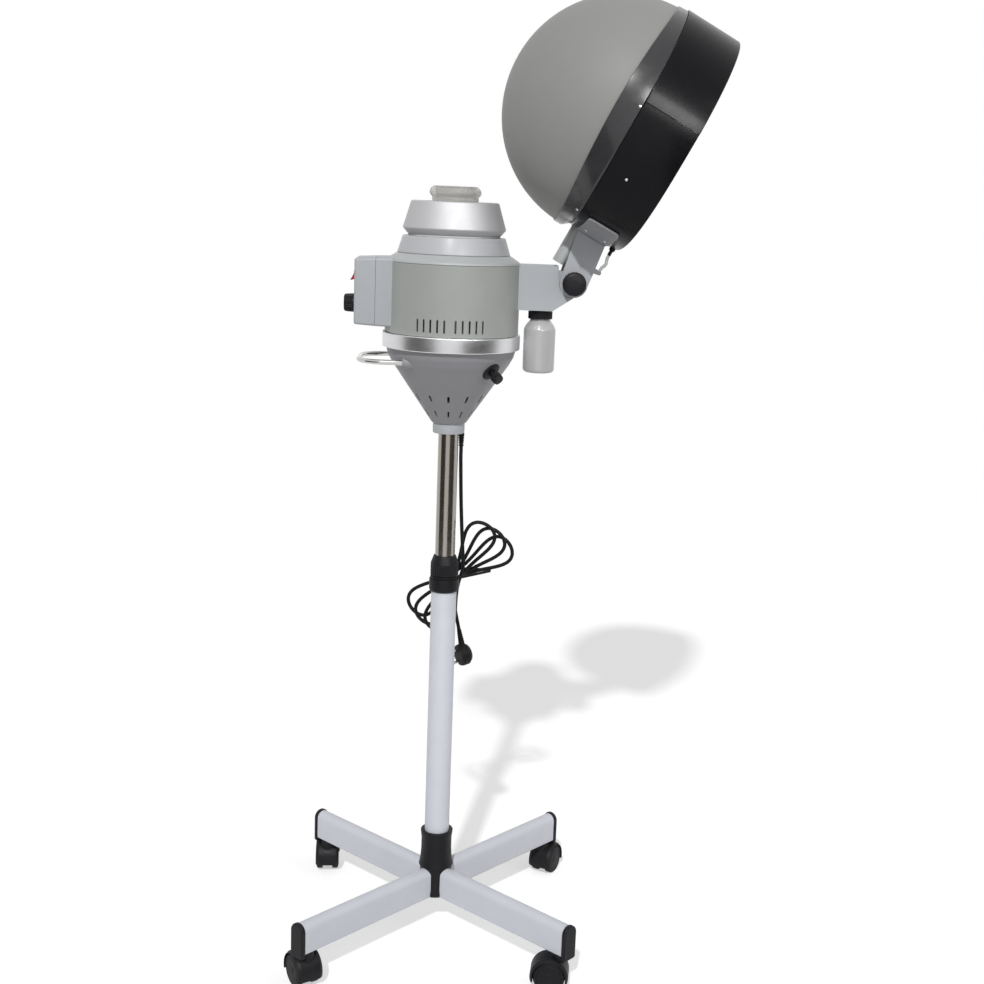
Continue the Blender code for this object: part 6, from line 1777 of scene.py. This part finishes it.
    def build_screws(self) -> None:
        """The small bright screws around the collar and on the saddle's plate."""
        parts = []
        places = [(angle, height, self.outline(angle)) for angle, height in self.screws]
        places += [(-angle, height, self.outline(angle)) for angle, height in self.screws]
        plate = self.saddle[2] + FIT
        turn, margin = self.plate_screws
        for angle in (180.0 - turn, 180.0 + turn):
            for height in (self.saddle[0] + margin, self.saddle[1] - margin):
                places.append((angle, height - self.centre[1], self.outline(angle) + plate))
        head = [(0.0, -0.001), (0.0022, -0.001), (0.0022, 0.0003), (0.0016, 0.0009), (0.0, 0.0011)]
        for angle, height, radius in places:
            before, after = (self.spot(self.outline(a), a, 0.0) for a in (angle - 0.5, angle + 0.5))
            ahead = after - before
            out = ahead.cross(Vector((0.0, 0.0, 1.0))).normalized()
            spot = self.spot(radius, angle, height)
            place = self.place @ Matrix.Translation(spot) @ out.to_track_quat("Z", "X").to_matrix().to_4x4()
            parts.append(lathe("screw", rounded(head, 0.0003, 2), place, 20))
        self.add(gathered("hood_screws", parts), "hood", SCREW_STEEL)


@dataclass
class ClampKnob(Assembly):
    """The knob that clamps the hood's tilt, with its bolt and nut."""

    pivot: Pair = PIVOT
    half: float = ARM_HALF
    bolt: float = 0.004
    nut: Pair = (0.008, 0.006)  # radius and thickness
    knob: Pair = (0.0185, 0.020)  # radius and length

    def build(self) -> None:
        """Makes the ribbed knob, and the bolt with its nut."""
        place = self.stand @ facing("X", 90.0, (self.pivot[0], 0.0, self.pivot[1]))
        side = self.half + RUNNING
        radius, length = self.knob
        top = side + length
        line = [
            (0.0, side), (radius * 0.70, side), (radius * 0.78, side + 0.0024), (radius - 0.0012, side + 0.0046),
            (radius, side + 0.0066), (radius, side + 0.009), (radius, top - 0.0055),
            (radius * 0.94, top - 0.0026), (radius * 0.70, top - 0.0009), (radius * 0.35, top), (0.0, top),
        ]
        grip = Flutes(18, 0.0007, side + 0.006, top - 0.006)
        knob = lathe("clamp_grip", rounded(line, 0.0014, 4), place, 180, flutes=grip)
        self.add(knob, "clamp_knob", BLACK_PLASTIC, "clamp_knob")
        wide, deep = self.nut
        line = oblong(0.0, -side - deep, self.bolt, side + 0.001)
        bolt = lathe("clamp_bolt", rounded(line, 0.0006, 3), place, 40)
        corners = arc((0.0, 0.0), wide, 0.0, 300.0, 5)
        nut = slab("clamp_nut", corners, (-side - deep + 0.001, -side), Plane.XY, place, 0.0008, 2)
        self.add(gathered("clamp_bolt_and_nut", [bolt, nut]), "clamp_knob", SCREW_STEEL)


@dataclass
class Inside(Assembly):
    """The nodes inside the head that keep their solids and get real finishes."""

    finishes: tuple[tuple[str, Finish], ...] = (
        ("boiler", POT_ALUMINIUM), ("boiler_stand", STEEL), ("heating_element", STEEL), ("lid_seal", SILICONE),
        ("steam_duct", SILICONE), ("timer_body", BLACK_PLASTIC),
    )

    def build(self) -> None:
        """Nothing is made: the solids are the frame's own."""

    def dress(self) -> None:
        """Puts the finishes on the frame's nodes."""
        for name, finish in self.finishes:
            finish.dress(frame["nodes"][name])
            log.info("%s keeps its solid in %s", name, finish.name)


@dataclass
class Studio:
    """The white floor, the lamps, the cards that gloss mirrors, and the photograph's camera."""

    stand: Matrix
    focal: float = 1431.845  # in pixels, as the next two
    frame: float = 984.0
    middle: Pair = (532.716, 490.610)
    pitch: float = 0.201489
    roll: float = 0.0419144
    yaw: float = 0.066672
    distance: float = 2.246877
    height: float = 1.219377
    aside: float = -0.0124253
    sensor: float = 36.0
    floor_half: float = 20.0
    floor_tone: Colour = (0.7, 0.7, 0.7, 1.0)
    floor_glow: float = 0.52
    room_light: float = 0.28
    sun_disc: float = 2.2
    sun_power: float = 2.0
    sun_way: Triple = (0.14, 0.74, -0.66)
    card_tone: Colour = (0.16, 0.15, 0.14, 1.0)
    card_reach: float = 2.4
    card_ends: Pair = (0.05, 1.6)
    cards: tuple[tuple[str, float, float], ...] = (("card_left", -84.0, -26.0), ("card_right", 18.0, 78.0))

    def build(self) -> None:
        """Sets the view, then makes the camera, the floor, the world, the lamps and the cards."""
        bpy.context.scene.view_settings.view_transform = "Standard"
        self.build_camera()
        self.build_floor()
        self.build_world()
        self.build_lamps()
        self.build_cards()

    def build_camera(self) -> None:
        """The camera, at the photograph's place and angle."""
        data = bpy.data.cameras.new("photo_camera")
        data.sensor_fit = "HORIZONTAL"
        data.sensor_width = self.sensor
        data.lens = self.focal / self.frame * self.sensor
        data.shift_x = (self.frame / 2 - self.middle[0]) / self.frame
        data.shift_y = (self.middle[1] - self.frame / 2) / self.frame
        data.clip_start = 0.05
        data.clip_end = 100.0
        camera = linked("photo_camera", data)
        level = math.cos(self.pitch)
        ahead = Vector((math.sin(self.yaw) * level, math.cos(self.yaw) * level, -math.sin(self.pitch)))
        right = Vector((math.cos(self.yaw), -math.sin(self.yaw), 0.0))
        up = right.cross(ahead)
        across = right * math.cos(self.roll) + up * math.sin(self.roll)
        upward = up * math.cos(self.roll) - right * math.sin(self.roll)
        turn = Matrix((across, upward, -ahead)).transposed().to_4x4()
        spot = self.stand @ Vector((self.aside, -self.distance, self.height))
        camera.matrix_world = Matrix.Translation(spot) @ turn
        bpy.context.scene.camera = camera

    def seen_share(self, nodes: Nodes) -> Socket:
        """One for rays from the camera, from gloss and through clear plastic, else zero."""
        path = nodes.add("ShaderNodeLightPath")
        last = path.outputs["Is Camera Ray"]
        for name in ("Is Glossy Ray", "Is Transmission Ray"):
            larger = nodes.add("ShaderNodeMath", operation="MAXIMUM")
            nodes.join(last, larger.inputs[0])
            nodes.join(path.outputs[name], larger.inputs[1])
            last = larger.outputs[0]
        return last

    def build_floor(self) -> None:
        """A wide white floor that keeps a soft shadow."""
        mesh = bpy.data.meshes.new("studio_floor")
        far = self.floor_half
        mesh.from_pydata([(x, y, 0.0) for x, y in oblong(-far, -far, far, far)], [], [(0, 1, 2, 3)])
        floor = linked("studio_floor", mesh)
        material = bpy.data.materials.new("studio_white")
        material.use_nodes = True
        nodes = Nodes(material.node_tree)
        paper = nodes.add("ShaderNodeBsdfDiffuse")
        set_values(paper, Color=self.floor_tone)
        share = nodes.add("ShaderNodeMath", operation="MULTIPLY")
        nodes.join(self.seen_share(nodes), share.inputs[0])
        share.inputs[1].default_value = self.floor_glow
        glow = nodes.add("ShaderNodeEmission")
        nodes.join(share.outputs[0], glow.inputs["Strength"])
        both = nodes.add("ShaderNodeAddShader")
        nodes.join(paper.outputs["BSDF"], both.inputs[0])
        nodes.join(glow.outputs["Emission"], both.inputs[1])
        nodes.join(both.outputs["Shader"], nodes.add("ShaderNodeOutputMaterial").inputs["Surface"])
        mesh.materials.append(material)

    def build_world(self) -> None:
        """A white room: full white where it is seen, dimmer as a light."""
        world = bpy.data.worlds.new("studio_room")
        bpy.context.scene.world = world
        world.use_nodes = True
        nodes = Nodes(world.node_tree)
        level = nodes.add("ShaderNodeMapRange")
        set_values(level, To_Min=self.room_light, To_Max=1.0)
        nodes.join(self.seen_share(nodes), level.inputs["Value"])
        glow = nodes.add("ShaderNodeBackground")
        set_values(glow, Color=(1.0, 1.0, 1.0, 1.0))
        nodes.join(level.outputs["Result"], glow.inputs["Strength"])
        nodes.join(glow.outputs["Background"], nodes.add("ShaderNodeOutputWorld").inputs["Surface"])

    def lamp(self, name: str, spot: Triple, aim: Triple, size: Pair, watts: float, roll: float = 0.0) -> Piece:
        """A soft rectangular lamp.

        Args:
            name: The lamp's name.
            spot: Its place in the stand's frame.
            aim: The point that it faces.
            size: Its width and height.
            watts: Its power.
            roll: Its turn about its own beam, in degrees.

        Returns:
            The lamp.
        """
        data = bpy.data.lights.new(name, "AREA")
        data.shape = "RECTANGLE"
        data.size, data.size_y = size
        data.energy = watts
        lamp = linked(name, data)
        start, end = self.stand @ Vector(spot), self.stand @ Vector(aim)
        turn = (end - start).to_track_quat("-Z", "Y").to_matrix().to_4x4()
        lamp.matrix_world = Matrix.Translation(start) @ turn @ Matrix.Rotation(math.radians(roll), 4, "Z")
        return lamp

    def build_lamps(self) -> None:
        """The sun that throws the shadow, a weak fill from the right, and a strip that only gloss mirrors."""
        data = bpy.data.lights.new("key_light", "SUN")
        data.angle = math.radians(self.sun_disc)
        data.energy = self.sun_power
        key = linked("key_light", data)
        turn = Vector(self.sun_way).to_track_quat("-Z", "Y").to_matrix().to_4x4()
        key.matrix_world = Matrix.Translation(self.stand @ Vector((-0.6, -3.3, 3.9))) @ turn
        self.lamp("fill_light", (2.6, -1.6, 1.9), (0.0, 0.0, 0.9), (1.6, 2.2), 12.0)
        strip = self.lamp("strip_light", (1.035, -2.434, 2.157), (0.31, -0.18, 1.35), (1.3, 0.5), 44.0, -32.0)
        strip.visible_diffuse = False

    def build_cards(self) -> None:
        """Dark cards on both sides of the camera, which only gloss mirrors."""
        material = bpy.data.materials.new("card_black")
        material.use_nodes = True
        set_values(material.node_tree.nodes["Principled BSDF"], Base_Color=self.card_tone, Roughness=0.9)
        for name, *edges in self.cards:
            spots = arc((0.0, 0.0), self.card_reach, edges[0] - 90.0, edges[1] - 90.0, 1)
            corners = [self.stand @ Vector((*spot, z)) for spot in spots for z in self.card_ends]
            mesh = bpy.data.meshes.new(name)
            mesh.from_pydata(corners, [], [(0, 1, 3, 2)])
            mesh.materials.append(material)
            card = linked(name, mesh)
            for kind in ("camera", "diffuse", "shadow", "transmission"):
                setattr(card, f"visible_{kind}", False)


def stand_frame() -> Matrix:
    """The frame on the floor below the mast."""
    low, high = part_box("mast_tube")
    return Matrix.Translation(((low[0] + high[0]) / 2, (low[1] + high[1]) / 2, 0.0))


def main() -> None:
    """Builds the studio and each sub-assembly in order, and dresses them."""
    stand = stand_frame()
    Studio(stand).build()
    headings = {"front_right": 172.0, "back_right": 60.0, "back_left": 92.0, "front_left": 120.0}
    base = RollingBase(stand)
    casters = [Caster(stand, name, angle, headings[name]) for name, angle in base.legs]
    upper = (Column, SteamHead, Lid, ControlBox, HandleAndDrain, ArmAndBottle, Hood, ClampKnob, Inside)
    assemblies: list[Assembly] = [MainsLead(stand), base, *casters, *(kind(stand) for kind in upper)]
    for assembly in assemblies:
        assembly.build()
        assembly.dress()


if __name__ == "__main__":
    main()
